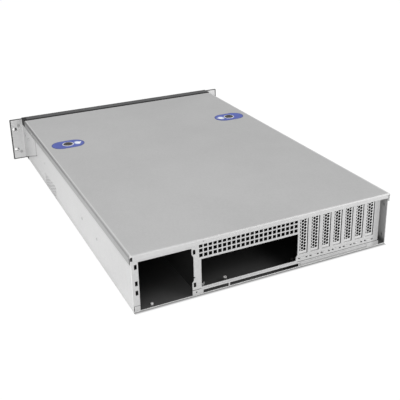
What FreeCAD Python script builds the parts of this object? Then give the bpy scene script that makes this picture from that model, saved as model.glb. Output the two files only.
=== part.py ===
import FreeCAD, Part
import os
import re
import Sketcher

# Empty 2U rackmount server case. Front faces -Y, rear faces +Y, +Z is up.
# Distances written as "depth" are measured from the rearmost plane towards the front.

sizes = {
    # Overall
    "case_width": 427.0, "case_height": 88.0, "mount_depth": 660.0, "sheet": 1.0,
    # Top cover
    "cover_sheet": 1.0, "cover_seat_gap": 0.2, "cover_side_gap": 0.3, "cover_rear_gap": 0.3,
    "cover_front_gap": 2.5, "cover_flange": 13.3, "cover_rear_flange": 8.0, "cover_step": 0.4,
    "cover_step_drop": 4.4, "cover_bend": 2.4, "corner_notch": 2.4, "corner_notch_drop": 2.8,
    "flange_hole": 0.9, "flange_hole_x": 107.0, "flange_hole_drop": 3.4,
    # Chassis base
    "top_lip": 10.0, "base_bend": 1.8, "vent_hole": 2.0, "vent_pitch": 8.0, "vent_depth": 410.0,
    "vent_low": 5.0, "vent_row": 6.0, "vent_columns": 5.0, "vent_rows": 4.0, "rail_hole": 2.2,
    "rail_hole_depth": 485.0, "rail_hole_height": 47.6,
    # Sill at the foot of the rear panel
    "sill_top": 9.3, "sill_gap_height": 5.4, "sill_web": 2.2, "sill_web_x": 66.4,
    "sill_gap_end": 2.5, "sill_rib_left": -53.5, "sill_rib_right": -177.0, "sill_rib_low": 1.7,
    "sill_rib_high": 7.0, "sill_rib_proud": 0.4, "sill_hole": 1.2, "sill_hole_x": 118.4,
    "sill_hole_height": 5.2,
    # Rear panel
    "panel_seam": 0.2, "panel_top_gap": 1.9, "channel_width": 12.5, "channel_reach": 21.0,
    "panel_bend": 3.6, "panel_joggle": 0.3, "panel_leg_gap": 1.0, "panel_top_flange": 11.0,
    "psu_left": 203.0, "psu_right": 124.6, "psu_top": 76.4, "psu_relief": 2.6,
    "psu_relief_top": 66.6, "psu_relief_low": 21.4, "psu_chamfer": 4.0, "psu_notch_height": 29.6,
    "psu_notch": 1.8, "psu_left_high": 69.6, "psu_left_middle": 44.2, "psu_right_high": 70.0,
    "psu_right_low": 17.9, "screw_slot_width": 3.4, "screw_slot_length": 6.6,
    "psu_screw_offset": 3.8, "io_width": 158.75, "io_height": 44.45, "io_left": 110.3,
    "io_bottom": 12.0, "io_tab": 2.6, "io_tab_rise": 9.0, "io_tab_flat": 5.5, "mesh_hole": 5.0,
    "mesh_pitch": 7.38, "mesh_row_pitch": 7.5, "mesh_low": 62.6, "mesh_left": 110.55,
    "mesh_columns": 22.0, "mesh_rows": 3.0, "top_flange_start": 8.0,
    # Card windows and their covers
    "slot_pitch": 20.32, "slot_count": 7.0, "window_width": 14.5, "window_left": -51.7,
    "window_low": 21.4, "window_high": 79.6, "loop_low": 13.4, "loop_height": 2.6,
    "loop_proud": 0.8, "loop_eye": 1.6, "loop_edge": 0.55, "blank_sheet": 0.8, "blank_gap": 1.0,
    "blank_overlap": 2.8, "blank_low": 17.0, "blank_tip_low": 10.6, "blank_tip_width": 9.0,
    "blank_tab": 11.0, "blank_hole": 1.8, "blank_column": 4.4, "blank_row": 5.02,
    "blank_first_row": 28.1, "blank_rows": 11.0, "blank_edge": 5.05, "blank_columns": 3.0,
    "blank_rail_sheet": 1.2, "blank_rail_width": 12.0, "blank_rail_lip": 2.6, "blank_rail_gap": 0.3,
    "blank_rail_reach": 12.0, "blank_rail_foot": 6.0,
    # Rack ears and handles
    "rack_width": 482.6, "rack_slot_spacing": 465.1, "rack_unit": 44.45, "ear_sheet": 2.0,
    "ear_height": 87.5, "ear_flange": 110.0, "ear_flange_rise": 40.0, "ear_clearance": 0.3,
    "ear_bend": 1.5, "rack_slot_length": 9.5, "rack_slot_height": 6.5, "rack_centre": 44.0,
    "handle_reach": 28.0, "handle_spacing": 58.0, "handle_bar": 8.0, "handle_width": 9.0,
    "handle_inset": 16.8, "handle_round": 3.0, "handle_edge": 1.0, "handle_bore": 10.0,
    "ear_screw_depth": 606.0, "ear_screw_gap": 26.0, "ear_screw_height": 57.0,
    # Front frame and its controls
    "frame_depth": 24.5, "frame_proud": 4.0, "frame_wall": 3.0, "frame_plate": 2.5,
    "frame_shoulder": 1.7, "shoulder_drop": 13.0, "intake_hole": 6.0, "intake_pitch": 9.0,
    "intake_columns": 38.0, "intake_rows": 8.0, "intake_left": 196.0, "intake_low": 9.5,
    "control_x": -188.0, "button_gap": 0.3, "power_height": 68.0, "power_button": 5.2,
    "reset_height": 52.0, "reset_button": 2.6, "button_proud": 1.2, "button_flange": 1.6,
    "button_rim": 1.7, "stem_tail": 1.0, "light_height": 18.0, "light_pitch": 7.0,
    "light_radius": 1.5, "light_gap": 0.1, "light_proud": 0.4, "light_count": 4.0,
    "board_width": 30.0, "board_height": 72.0, "board_sheet": 1.6, "board_low": 8.0,
    "post_radius": 3.0, "post_length": 7.9, "board_inset": 4.0, "switch_side": 6.0,
    "switch_height": 3.2,
    # Fan wall, fans and release buttons
    "wall_depth": 427.0, "wall_shelf": 52.0, "shelf_top": 84.5, "wall_foot": 12.0,
    "wall_flange": 20.0, "wall_flange_gap": 5.0, "fan_side": 80.0, "fan_depth": 38.0,
    "fan_spacing": 105.0, "fan_bore": 38.0, "fan_seat": 0.2, "rotor_radius": 36.4,
    "hub_radius": 17.0, "hub_gap": 0.3, "motor_plate": 3.0, "rotor_depth": 28.0, "blade_sheet": 1.6,
    "blade_angle": 38.0, "blade_count": 7.0, "spoke_width": 4.0, "motor_radius": 15.0,
    "fan_screw_inset": 4.25, "fan_screw_gap": 0.5, "release_x": 171.0, "release_depth": 456.0,
    "release_radius": 8.2, "release_tail": 4.0, "release_proud": 1.4, "release_rim": 1.5,
    "release_flange": 1.6, "cup_wall": 1.6, "cup_low": 69.5, "cup_gap": 0.4, "spring_wire": 0.45,
    "spring_turns": 4.0, "spring_end_gap": 0.3, "spring_side_gap": 0.35, "ring_width": 2.1,
    "ring_height": 0.7, "release_gap": 0.5, "label_length": 62.0, "label_width": 40.0,
    "label_sheet": 0.3, "mark_offset": 20.6, "mark_size": 7.2,
    # Inside
    "divider_x": 117.4, "divider_length": 234.0, "divider_foot": 6.0, "divider_top": 82.0,
    "cage_left": 198.0, "cage_right": -156.0, "cage_rear": 495.0, "cage_front": 634.0,
    "cage_top": 83.5, "cage_bays": 4.0, "cage_vent": 5.0, "cage_vent_pitch": 16.0,
    "cage_vent_side": 16.0, "cage_vent_rear": 35.0, "cage_vent_columns": 20.0,
    "cage_vent_rows": 3.0, "standoff_height": 6.35, "standoff_radius": 2.9, "standoff_bore": 1.25,
    "board_rear_row": 17.0, "board_middle_row": 154.94, "board_front_row": 227.33,
    "board_left": 108.0, "board_middle": 157.48, "board_right": 281.94, "board_extra": 42.8,
    # Fasteners
    "screw_radius": 1.6, "screw_head": 3.0, "screw_head_height": 1.2, "screw_gap": 0.25,
    "bore_gap": 0.1, "screw_grip": 4.0, "cover_screw_depth": 573.0, "cover_screw_height": 79.6,
    "rivet_radius": 2.3, "rivet_head": 0.5, "rivet_depth": 8.0, "rivet_low": 13.5,
    "rivet_high": 66.0, "side_rivet_height": 40.0, "side_rivet_first": 155.4,
    "side_rivet_second": 234.3,
}

doc = FreeCAD.newDocument("ServerCase")
sheet = doc.addObject("Spreadsheet::Sheet", "Size")
for row, (word, number) in enumerate(sizes.items(), start=1):
    sheet.set("A%d" % row, word)
    sheet.set("B%d" % row, str(number))
    sheet.setAlias("B%d" % row, word)
doc.recompute()

# Places used by more than one piece, as expressions on the sheet
REAR = "((mount_depth + handle_reach) / 2)"
PANEL_DEPTH = "(cover_sheet + cover_rear_gap)"
PANEL_BACK = "(cover_sheet + cover_rear_gap + sheet)"
WALL = "(case_width / 2)"
INNER_WALL = "(case_width / 2 - sheet)"
WALL_TOP = "(case_height - cover_sheet - cover_seat_gap)"
FRAME_REAR = "(mount_depth + frame_proud - frame_depth)"
FRAME_FRONT = "(mount_depth + frame_proud)"
PLATE_BACK = "(mount_depth + frame_proud - frame_plate)"
COVER_HALF = "(case_width / 2 + cover_side_gap + cover_sheet + cover_step)"
WINDOW_RIGHT = "(window_left - window_width)"
PANEL_RIGHT = "(0 - case_width / 2 + sheet + channel_width)"
SHELF_LOW = "(shelf_top - sheet)"
BLANK_TOP = "(window_high + 4)"


def bound(text):
    """Puts the sheet's name before each size in an expression."""
    return re.sub(r"[a-z][a-z_]*", lambda word: "Size." + word.group(0), str(text))


def deep(depth):
    """The Y place of a distance from the rearmost plane."""
    return "%s - (%s)" % (REAR, depth)


def size(word):
    return float(sizes[word])


def tie(item, **places):
    for name, text in places.items():
        item.setExpression(name.replace("_", "."), bound(text))


def box(name, x, y, z, dx, dy, dz):
    """A block from its lowest corner."""
    item = doc.addObject("Part::Box", name)
    tie(item, Length=dx, Width=dy, Height=dz)
    tie(item, Placement_Base_x=x, Placement_Base_y=y, Placement_Base_z=z)
    return item


def rod(name, x, y, z, radius, length, along="z"):
    """A cylinder from the centre of its first end, along x, y or z."""
    turns = {"z": (FreeCAD.Vector(0, 0, 1), 0), "x": (FreeCAD.Vector(0, 1, 0), 90),
             "y": (FreeCAD.Vector(1, 0, 0), -90)}
    item = doc.addObject("Part::Cylinder", name)
    item.Placement = FreeCAD.Placement(FreeCAD.Vector(), FreeCAD.Rotation(*turns[along]))
    tie(item, Radius=radius, Height=length)
    tie(item, Placement_Base_x=x, Placement_Base_y=y, Placement_Base_z=z)
    return item


def fuse(name, parts):
    item = doc.addObject("Part::MultiFuse", name)
    item.Shapes = parts
    item.Refine = True
    return item


def group(name, parts):
    item = doc.addObject("Part::Compound", name)
    item.Links = parts
    return item


def cut(name, base, tools):
    item = doc.addObject("Part::Cut", name)
    item.Base = base
    item.Tool = tools[0] if len(tools) == 1 else group(name + "Tools", tools)
    return item


def mirror(name, source):
    """The same piece on the other side of the case."""
    item = doc.addObject("Part::Mirroring", name)
    item.Source = source
    item.Normal = FreeCAD.Vector(1, 0, 0)
    return item


def body(name):
    return doc.addObject("PartDesign::Body", name)


def outline(owner, name, plane, offset, loops):
    """A sketch on an origin plane. Each loop is a list of corners or a circle."""
    origin = [item for item in owner.Origin.OriginFeatures if item.Role == plane + "_Plane"][0]
    sketch = owner.newObject("Sketcher::SketchObject", name)
    sketch.AttachmentSupport = (origin, [""])
    sketch.MapMode = "FlatFace"
    sketch.setExpression("AttachmentOffset.Base.z", bound(offset))
    for turn, loop in enumerate(loops):
        if loop[0] == "circle":
            add_circle(sketch, turn, *loop[1:])
        else:
            add_corners(sketch, turn, loop)
    return sketch


def fix_place(sketch, curve, point, place, start):
    for kind, text, value in (("DistanceX", place[0], start[0]), ("DistanceY", place[1], start[1])):
        index = sketch.addConstraint(Sketcher.Constraint(kind, -1, 1, curve, point, value))
        sketch.setExpression("Constraints[%d]" % index, bound(text))


def add_circle(sketch, turn, x, y, radius):
    start = (5.0 + 20.0 * turn, 5.0)
    centre = FreeCAD.Vector(start[0], start[1], 0)
    curve = sketch.addGeometry(Part.Circle(centre, FreeCAD.Vector(0, 0, 1), 3.0), False)
    fix_place(sketch, curve, 3, (x, y), start)
    index = sketch.addConstraint(Sketcher.Constraint("Radius", curve, 3.0))
    sketch.setExpression("Constraints[%d]" % index, bound(radius))


def add_corners(sketch, turn, corners):
    count = len(corners)
    spread = FreeCAD.Rotation(FreeCAD.Vector(0, 0, 1), 360.0 / count)
    starts = [FreeCAD.Vector(10, 0, 0)]
    for _ in corners[1:]:
        starts.append(spread.multVec(starts[-1]))
    starts = [start + FreeCAD.Vector(15 + 30 * turn, 15, 0) for start in starts]
    lines = [Part.LineSegment(starts[i], starts[(i + 1) % count]) for i in range(count)]
    first = sketch.addGeometry(lines, False)[0]
    for i in range(count):
        after = first + (i + 1) % count
        sketch.addConstraint(Sketcher.Constraint("Coincident", first + i, 2, after, 1))
    for i, place in enumerate(corners):
        fix_place(sketch, first + i, 1, place, (starts[i].x, starts[i].y))


def block(low, high):
    """The corners of a rectangle."""
    return [(low[0], low[1]), (high[0], low[1]), (high[0], high[1]), (low[0], high[1])]


def pad(owner, sketch, length):
    item = owner.newObject("PartDesign::Pad", sketch.Name + "Pad")
    item.Profile = sketch
    sketch.Visibility = False
    item.setExpression("Length", bound(length))
    owner.Tip = item
    return item


def pocket(owner, sketch, length, forward=True):
    """Cuts from the sketch along its normal, or against it."""
    item = owner.newObject("PartDesign::Pocket", sketch.Name + "Pocket")
    item.Profile = sketch
    item.Reversed = forward
    item.setExpression("Length", bound(length))
    owner.Tip = item
    return item


def repeat(owner, feature, sketch, axis, pitch, count):
    """A linear pattern along the horizontal or vertical axis of a sketch."""
    item = owner.newObject("PartDesign::LinearPattern", feature.Name + "Row" + axis[0])
    item.Originals = [feature]
    item.Direction = (sketch, [axis])
    item.Mode = "Spacing"
    item.setExpression("Offset", bound(pitch))
    item.setExpression("Occurrences", bound(count))
    owner.Tip = item
    return item


def round_edges(owner, radius, chosen):
    """Rounds the edges of the tip that a test picks by their middle and direction."""
    doc.recompute()
    base = owner.Tip
    names = []
    for number, edge in enumerate(base.Shape.Edges, start=1):
        if edge.Curve.TypeId != "Part::GeomLine":
            continue
        along = edge.Vertexes[1].Point - edge.Vertexes[0].Point
        middle = (edge.Vertexes[1].Point + edge.Vertexes[0].Point) * 0.5
        if chosen(middle, along):
            names.append("Edge%d" % number)
    item = owner.newObject("PartDesign::Fillet", owner.Name + "Round%d" % len(owner.Group))
    item.Base = (base, names)
    item.setExpression("Radius", bound(radius))
    owner.Tip = item
    return item


def near(first, second):
    return abs(first - second) < 0.05


def make_base():
    """Floor and side walls with top lips, folded from one sheet."""
    item = body("chassis_base")
    start = "0 - (%s)" % deep(PANEL_DEPTH)
    length = "%s - %s" % (FRAME_REAR, PANEL_DEPTH)
    pad(item, outline(item, "BaseOuter", "XZ", start, [
        block(("0 - " + WALL, "0"), (WALL, WALL_TOP))]), length)
    pocket(item, outline(item, "BaseInner", "XZ", start, [
        block(("0 - " + INNER_WALL, "sheet"), (INNER_WALL, WALL_TOP + " - sheet"))]), length)
    opening = "%s - top_lip" % WALL
    pocket(item, outline(item, "BaseTop", "XY", WALL_TOP, [
        block(("0 - (%s)" % opening, deep(FRAME_REAR) + " - 1"),
              (opening, deep(PANEL_DEPTH) + " + 1"))]), "sheet", False)
    half = case_half()
    top = size("case_height") - size("cover_sheet") - size("cover_seat_gap")
    long_edge = size("mount_depth") / 2
    round_edges(item, "base_bend", lambda p, a: abs(a.y) > long_edge
                and near(abs(p.x), half) and (near(p.z, 0) or near(p.z, top)))
    round_edges(item, "base_bend - sheet", lambda p, a: abs(a.y) > long_edge
                and near(abs(p.x), half - size("sheet")))
    cut_base_sides(item)
    return item


def case_half():
    return size("case_width") / 2


def cut_base_sides(item):
    """Vents and holes through both walls."""
    width = "case_width + 2"
    side = "0 - %s - 1" % WALL
    column = []
    for row in range(int(size("vent_rows"))):
        height = "vent_low + %d * vent_row" % row
        column.append(("circle", deep("vent_depth"), height, "vent_hole"))
        column.append(("circle", deep("vent_depth + vent_pitch"), height + " + vent_row / 2",
                       "vent_hole"))
    sketch = outline(item, "SideVents", "YZ", side, column)
    vents = pocket(item, sketch, width)
    row = repeat(item, vents, sketch, "H_Axis", "2 * vent_pitch", "vent_columns")
    row.Reversed = True
    holes = [("circle", deep("rail_hole_depth"), "rail_hole_height", "rail_hole")]
    for step in range(2):
        place = deep("ear_screw_depth + %d * ear_screw_gap" % step)
        holes.append(("circle", place, "ear_screw_height", "screw_radius + screw_gap"))
    for place in ("side_rivet_first", "side_rivet_second"):
        holes.append(("circle", deep(place), "side_rivet_height", "rivet_radius"))
    pocket(item, outline(item, "SideHoles", "YZ", side, holes), width)
    right = [("circle", deep("rivet_depth"), place, "rivet_radius")
             for place in ("rivet_low", "rivet_high")]
    pocket(item, outline(item, "RightHoles", "YZ", side, right), "sheet + 2")
    half_notch = "(screw_radius + screw_gap + bore_gap)"
    notch = block(
        (deep("cover_screw_depth + %s" % half_notch), "cover_screw_height - %s" % half_notch),
        (deep("cover_screw_depth - %s" % half_notch), WALL_TOP + " + 1"))
    pocket(item, outline(item, "ScrewNotch", "YZ", side, [notch]), width)


def make_sill():
    """The low strip under the rear panel, open under the connectors, with a pressed rib."""
    item = body("rear_sill")
    start = "0 - (%s)" % deep(PANEL_DEPTH)
    pad(item, outline(item, "SillFace", "XZ", start, [
        block((PANEL_RIGHT, "sheet"), ("psu_right", "sill_top"))]), "sheet")
    rib = "0 - (%s)" % deep(PANEL_DEPTH + " - sill_rib_proud")
    pad(item, outline(item, "SillRib", "XZ", rib, [
        block(("sill_rib_right", "sill_rib_low"), ("sill_rib_left", "sill_rib_high"))]),
        "sill_rib_proud + sheet / 2")
    high = "sheet + sill_gap_height"
    pocket(item, outline(item, "SillGaps", "XZ", start, [
        block(("sill_web_x + sill_web / 2", "sheet"), ("io_left - io_tab", high)),
        block(("io_left - io_width - sill_gap_end", "sheet"),
              ("sill_web_x - sill_web / 2", high))]), "sheet")
    pocket(item, outline(item, "SillHole", "XZ", start, [
        ("circle", "sill_hole_x", "sill_hole_height", "sill_hole")]), "sheet")
    return item


def make_rear_panel():
    """The folded rear sheet, with every opening that the back of the case has."""
    item = body("rear_panel")
    start = "0 - (%s)" % deep(PANEL_DEPTH)
    low = "sill_top + panel_seam"
    high = "%s - panel_top_gap" % WALL_TOP
    pad(item, outline(item, "PanelFace", "XZ", start, [
        block((PANEL_RIGHT, low), (INNER_WALL, high))]), "sheet")
    joggle = "0 - (%s)" % deep(PANEL_DEPTH + " + panel_joggle")
    pad(item, outline(item, "PanelLeg", "XZ", joggle, [
        block(("psu_left", "sheet"), (INNER_WALL + " - panel_leg_gap", low + " + sheet"))]),
        "sheet - panel_joggle")
    pad(item, outline(item, "PanelChannel", "XZ", start, [
        block((PANEL_RIGHT, low), (PANEL_RIGHT + " + sheet", high))]), "channel_reach")
    back = "0 - (%s)" % deep(PANEL_DEPTH + " + channel_reach - sheet")
    pad(item, outline(item, "PanelEnd", "XZ", back, [
        block(("0 - " + INNER_WALL, low), (PANEL_RIGHT + " + sheet", high))]), "sheet")
    face_right = right_face_x()
    face_y = rear_plane() - size("cover_sheet") - size("cover_rear_gap")
    round_edges(item, "panel_bend", lambda p, a: abs(a.z) > 50 and near(p.x, face_right)
                and near(p.y, face_y))
    round_edges(item, "panel_bend - sheet", lambda p, a: abs(a.z) > 50
                and near(p.x, face_right + size("sheet")) and near(p.y, face_y - size("sheet")))
    pad(item, outline(item, "PanelTop", "XZ", start, [
        block(("window_left + top_flange_start", high + " - sheet"),
              (INNER_WALL + " - top_lip", high))]),
        "panel_top_flange")
    cut_psu_opening(item, start)
    cut_board_opening(item, start)
    cut_card_windows(item, start)
    return item


def rear_plane():
    """The Y place of the rearmost plane."""
    return (size("mount_depth") + size("handle_reach")) / 2


def right_face_x():
    """Where the rear face folds forward into the right channel."""
    return -case_half() + size("sheet") + size("channel_width")


def slot_shape(x, z):
    """An upright screw slot as a plain rectangle."""
    half = "screw_slot_width / 2"
    tall = "screw_slot_length / 2"
    return block(("%s - %s" % (x, half), "%s - %s" % (z, tall)),
                 ("%s + %s" % (x, half), "%s + %s" % (z, tall)))


def cut_psu_opening(item, start):
    """The power supply's opening with its screw slots."""
    relief = "psu_right - psu_relief"
    corners = [("psu_left", "sheet"), ("psu_left", "psu_top"), ("psu_right", "psu_top"),
               ("psu_right", "psu_relief_top"), (relief, "psu_relief_top - psu_chamfer"),
               (relief, "psu_notch_height + 1"), (relief + " - psu_notch", "psu_notch_height + 1"),
               (relief + " - psu_notch", "psu_notch_height - 1"), (relief, "psu_notch_height - 1"),
               (relief, "psu_relief_low + psu_chamfer"), ("psu_right", "psu_relief_low"),
               ("psu_right", "sheet")]
    left = "psu_left + psu_screw_offset"
    right = "psu_right - psu_screw_offset"
    slots = [slot_shape(left, "psu_left_high"), slot_shape(left, "psu_left_middle"),
             slot_shape(left, "psu_notch_height"), slot_shape(right, "psu_right_high"),
             slot_shape(right, "psu_right_low")]
    pocket(item, outline(item, "PsuOpening", "XZ", start, [corners]), "sheet")
    pocket(item, outline(item, "PsuSlots", "XZ", start, slots), "sheet")


def cut_board_opening(item, start):
    """Connector opening with its small corner tab, and the square-hole mesh over it."""
    right = "io_left - io_width"
    top = "io_bottom + io_height"
    corners = [(right + " + io_tab", "io_bottom"), ("io_left", "io_bottom"), ("io_left", top),
               (right, top), (right, "io_bottom + io_tab_rise"),
               (right + " + io_tab", "io_bottom + io_tab_flat")]
    pocket(item, outline(item, "BoardOpening", "XZ", start, [corners]), "sheet")
    column = []
    for row in range(int(size("mesh_rows"))):
        middle = "mesh_low + %d * mesh_row_pitch" % row
        column.append(block(("mesh_left - mesh_hole / 2", "%s - mesh_hole / 2" % middle),
                            ("mesh_left + mesh_hole / 2", "%s + mesh_hole / 2" % middle)))
    sketch = outline(item, "Mesh", "XZ", start, column)
    holes = pocket(item, sketch, "sheet")
    repeat(item, holes, sketch, "H_Axis", "mesh_pitch", "mesh_columns").Reversed = True


def cut_card_windows(item, start):
    """Seven windows, each over a pressed-out loop that takes a bracket's tip."""
    window = outline(item, "Window", "XZ", start, [
        block((WINDOW_RIGHT, "window_low"), ("window_left", "window_high"))])
    hole = pocket(item, window, "sheet")
    repeat(item, hole, window, "H_Axis", "slot_pitch", "slot_count").Reversed = True
    proud = "0 - (%s)" % deep(PANEL_DEPTH + " - loop_proud")
    loop = outline(item, "Loop", "XZ", proud, [
        block((WINDOW_RIGHT, "loop_low"), ("window_left", "loop_low + loop_height"))])
    bridge = pad(item, loop, "loop_proud")
    repeat(item, bridge, loop, "H_Axis", "slot_pitch", "slot_count").Reversed = True
    low = "loop_low + loop_edge"
    high = "loop_low + loop_height - loop_edge"
    eyes = outline(item, "LoopEyes", "XZ", proud, [
        block((WINDOW_RIGHT, low), (WINDOW_RIGHT + " + loop_eye", high)),
        block(("window_left - loop_eye", low), ("window_left", high))])
    ends = pocket(item, eyes, "sheet + loop_proud")
    repeat(item, ends, eyes, "H_Axis", "slot_pitch", "slot_count").Reversed = True


def make_blank(number):
    """A perforated slot cover: plate, tapered tip and top tab."""
    item = body("slot_cover_%d" % (number + 1))
    shift = "%d * slot_pitch" % number
    left = "window_left + blank_overlap - %s" % shift
    right = "window_left - window_width + blank_gap - %s" % shift
    middle = "(%s + %s) / 2" % (left, right)
    start = "0 - (%s)" % deep(PANEL_BACK)
    pad(item, outline(item, "Plate%d" % number, "XZ", start, [
        block((right, "blank_low"), (left, BLANK_TOP))]), "blank_sheet")
    pad(item, outline(item, "Tip%d" % number, "XZ", start, [
        block((middle + " - blank_tip_width / 2", "blank_tip_low"),
              (middle + " + blank_tip_width / 2", "blank_low"))]), "blank_sheet")
    pad(item, outline(item, "Tab%d" % number, "XZ", start, [
        block((right, BLANK_TOP + " - blank_sheet"), (left, BLANK_TOP))]), "blank_tab")
    first = "(%s + blank_edge - blank_gap)" % right
    trio = [("circle", "%s + %d * blank_column" % (first, column),
             "blank_first_row" + (" + blank_row / 2" if column == 1 else ""), "blank_hole")
            for column in range(int(size("blank_columns")))]
    sketch = outline(item, "Holes%d" % number, "XZ", start, trio)
    holes = pocket(item, sketch, "blank_sheet")
    repeat(item, holes, sketch, "V_Axis", "blank_row", "blank_rows")
    screw = outline(item, "Hole%d" % number, "XY", BLANK_TOP, [
        ("circle", middle, deep(blank_screw_depth()), "screw_radius + screw_gap")])
    pocket(item, screw, "blank_sheet", False)
    return item


def blank_screw_depth():
    """Depth of the screws that hold the slot covers' tabs."""
    return PANEL_BACK + " + blank_tab / 2 + 0.6"


def make_blank_rail():
    """The angle under the tabs, tapped for their screws and fixed to the rear panel."""
    depth = PANEL_BACK + " + blank_sheet + blank_rail_gap"
    low = BLANK_TOP + " - blank_sheet - blank_rail_sheet"
    right = "%s + sheet" % PANEL_RIGHT
    span = "window_left + blank_rail_reach - (%s)" % right
    bar = box("RailBar", right + " + blank_rail_sheet", deep(depth + " + blank_rail_width"), low,
              span + " - blank_rail_sheet", "blank_rail_width", "blank_rail_sheet")
    lip = box("RailLip", right, deep(depth + " + blank_rail_width"), low,
              span, "blank_rail_sheet", "blank_rail_sheet + blank_rail_lip")
    foot = box("RailFoot", "window_left + blank_rail_foot", deep(depth), low,
               "blank_rail_reach - blank_rail_foot", "blank_sheet + blank_rail_gap", "blank_rail_sheet")
    bores = []
    for number in range(int(size("slot_count"))):
        bores.append(rod("RailBore%d" % number, blank_middle(number), deep(blank_screw_depth()),
                         low + " - 1", "screw_radius", "blank_rail_sheet + 2"))
    return cut("slot_rail", fuse("RailAngle", [bar, lip, foot]), bores)


def blank_middle(number):
    """The middle of a slot cover."""
    return "window_left + (blank_overlap + blank_gap - window_width) / 2 - %d * slot_pitch" % number


def pan_screw(name, x, y, z, along, grip, direction=1):
    """Head and shank. The seat of the head is at the given place."""
    offset = {"x": 0, "y": 1, "z": 2}[along]
    place = [x, y, z]
    head_place = list(place)
    shank_place = list(place)
    if direction > 0:
        shank_place[offset] = "%s - (%s)" % (place[offset], grip)
    else:
        head_place[offset] = "%s - screw_head_height" % place[offset]
    head = rod(name + "Head", *head_place, "screw_head", "screw_head_height", along)
    shank = rod(name + "Shank", *shank_place, "screw_radius", grip, along)
    return fuse(name, [head, shank])


def make_cover():
    """Top cover: stepped side flanges, a rear flange and a hole for each release button."""
    item = body("top_cover")
    step = "(%s - cover_step)" % COVER_HALF
    inner = "(%s - cover_sheet)" % COVER_HALF
    low = "case_height - cover_flange"
    bend = "case_height - cover_step_drop"
    under = "case_height - cover_sheet"
    right_side = [(COVER_HALF, "case_height"), (COVER_HALF, bend),
                  (step, bend + " - cover_step"), (step, low), (step + " - cover_sheet", low),
                  (step + " - cover_sheet", bend + " - cover_step"), (inner, bend),
                  (inner, under)]
    left_side = [("0 - (%s)" % x, z) for x, z in reversed(right_side)]
    length = "%s - cover_front_gap" % FRAME_REAR
    pad(item, outline(item, "CoverSection", "XZ", "0 - (%s)" % REAR, [right_side + left_side]), length)
    pad(item, outline(item, "CoverRear", "XZ", "0 - (%s)" % REAR, [
        block(("0 - (%s) + cover_sheet / 2" % step, "case_height - cover_rear_flange"),
              ("(%s) - cover_sheet / 2" % step, "case_height - cover_sheet / 2"))]), "cover_sheet")
    half = case_half() + size("cover_side_gap") + size("cover_sheet") + size("cover_step")
    top = size("case_height")
    round_edges(item, "cover_bend", lambda p, a: near(p.z, top)
                and (near(abs(p.x), half) or near(p.y, rear_plane())))
    thick = size("cover_sheet")
    round_edges(item, "cover_bend - cover_sheet", lambda p, a: near(p.z, top - thick)
                and near(abs(p.x), half - thick))
    notch = "corner_notch"
    for name, sign in (("NotchLeft", ""), ("NotchRight", "0 - ")):
        near_edge = "%s(%s)" % (sign, inner)
        far_edge = "%s(%s - %s)" % (sign, inner, notch)
        pocket(item, outline(item, name, "XZ", "0 - (%s) - 1" % REAR, [
            block((near_edge, "case_height - cover_rear_flange - 1"),
                  (far_edge, "case_height - corner_notch_drop"))]), "cover_sheet + 1.5")
    small = [("circle", "flange_hole_x", "case_height - flange_hole_drop", "flange_hole")]
    pocket(item, outline(item, "FlangeHole", "XZ", "0 - (%s) - 1" % REAR, small), "cover_sheet + 1.5")
    holes = [("circle", "%srelease_x" % sign, deep("release_depth"), "release_radius + release_gap")
             for sign in ("", "0 - ")]
    pocket(item, outline(item, "ReleaseHoles", "XY", "case_height + 1", holes),
           "cover_sheet + 2", False)
    screws = [("circle", deep("cover_screw_depth"), "cover_screw_height", "screw_radius + screw_gap")]
    pocket(item, outline(item, "CoverScrewHoles", "YZ", "0 - %s - 1" % COVER_HALF, screws),
           "2 * %s + 2" % COVER_HALF)
    return item


def make_label():
    """A pill-shaped label round the release button's hole."""
    round_part = "(label_length - label_width) / 2"
    middle = box("LabelMiddle", "release_x - %s" % round_part, deep("release_depth + label_width / 2"),
                 "case_height", "2 * " + round_part, "label_width", "label_sheet")
    ends = [rod("LabelEnd%d" % number, "release_x %s %s" % (sign, round_part), deep("release_depth"),
                "case_height", "label_width / 2", "label_sheet")
            for number, sign in enumerate("+-")]
    hole = rod("LabelHole", "release_x", deep("release_depth"), "case_height - 1",
               "release_radius + release_gap + ring_width", "label_sheet + 2")
    return cut("release_label_left", fuse("LabelPill", [middle] + ends), [hole])


def make_ring():
    """The bright ring round the release button's hole."""
    outer = rod("RingOuter", "release_x", deep("release_depth"), "case_height",
                "release_radius + release_gap + ring_width", "ring_height")
    inner = rod("RingInner", "release_x", deep("release_depth"), "case_height - 1",
                "release_radius + release_gap", "ring_height + 2")
    return cut("release_ring_left", outer, [inner])


def make_mark(name, sign):
    """A plain wedge printed on the inner end of a label."""
    item = doc.addObject("Part::Prism", name)
    item.Polygon = 3
    item.Placement = FreeCAD.Placement(FreeCAD.Vector(), FreeCAD.Rotation(FreeCAD.Vector(0, 0, 1), 90))
    tie(item, Circumradius="mark_size", Height="label_sheet / 2",
        Placement_Base_x="%s(release_x - mark_offset)" % sign,
        Placement_Base_y=deep("release_depth"), Placement_Base_z="case_height + label_sheet")
    return item


def make_release_button():
    """Stem through the cover with a flange that the shelf holds down."""
    top = "case_height + release_proud"
    flange_top = "%s - button_gap" % SHELF_LOW
    low = "%s - release_flange - release_tail" % flange_top
    stem = rod("ReleaseStem", "release_x", deep("release_depth"), low, "release_radius",
               "%s - (%s)" % (top, low))
    flange = rod("ReleaseFlange", "release_x", deep("release_depth"),
                 flange_top + " - release_flange", "release_radius + release_rim", "release_flange")
    return fuse("release_button_left", [stem, flange])


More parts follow.
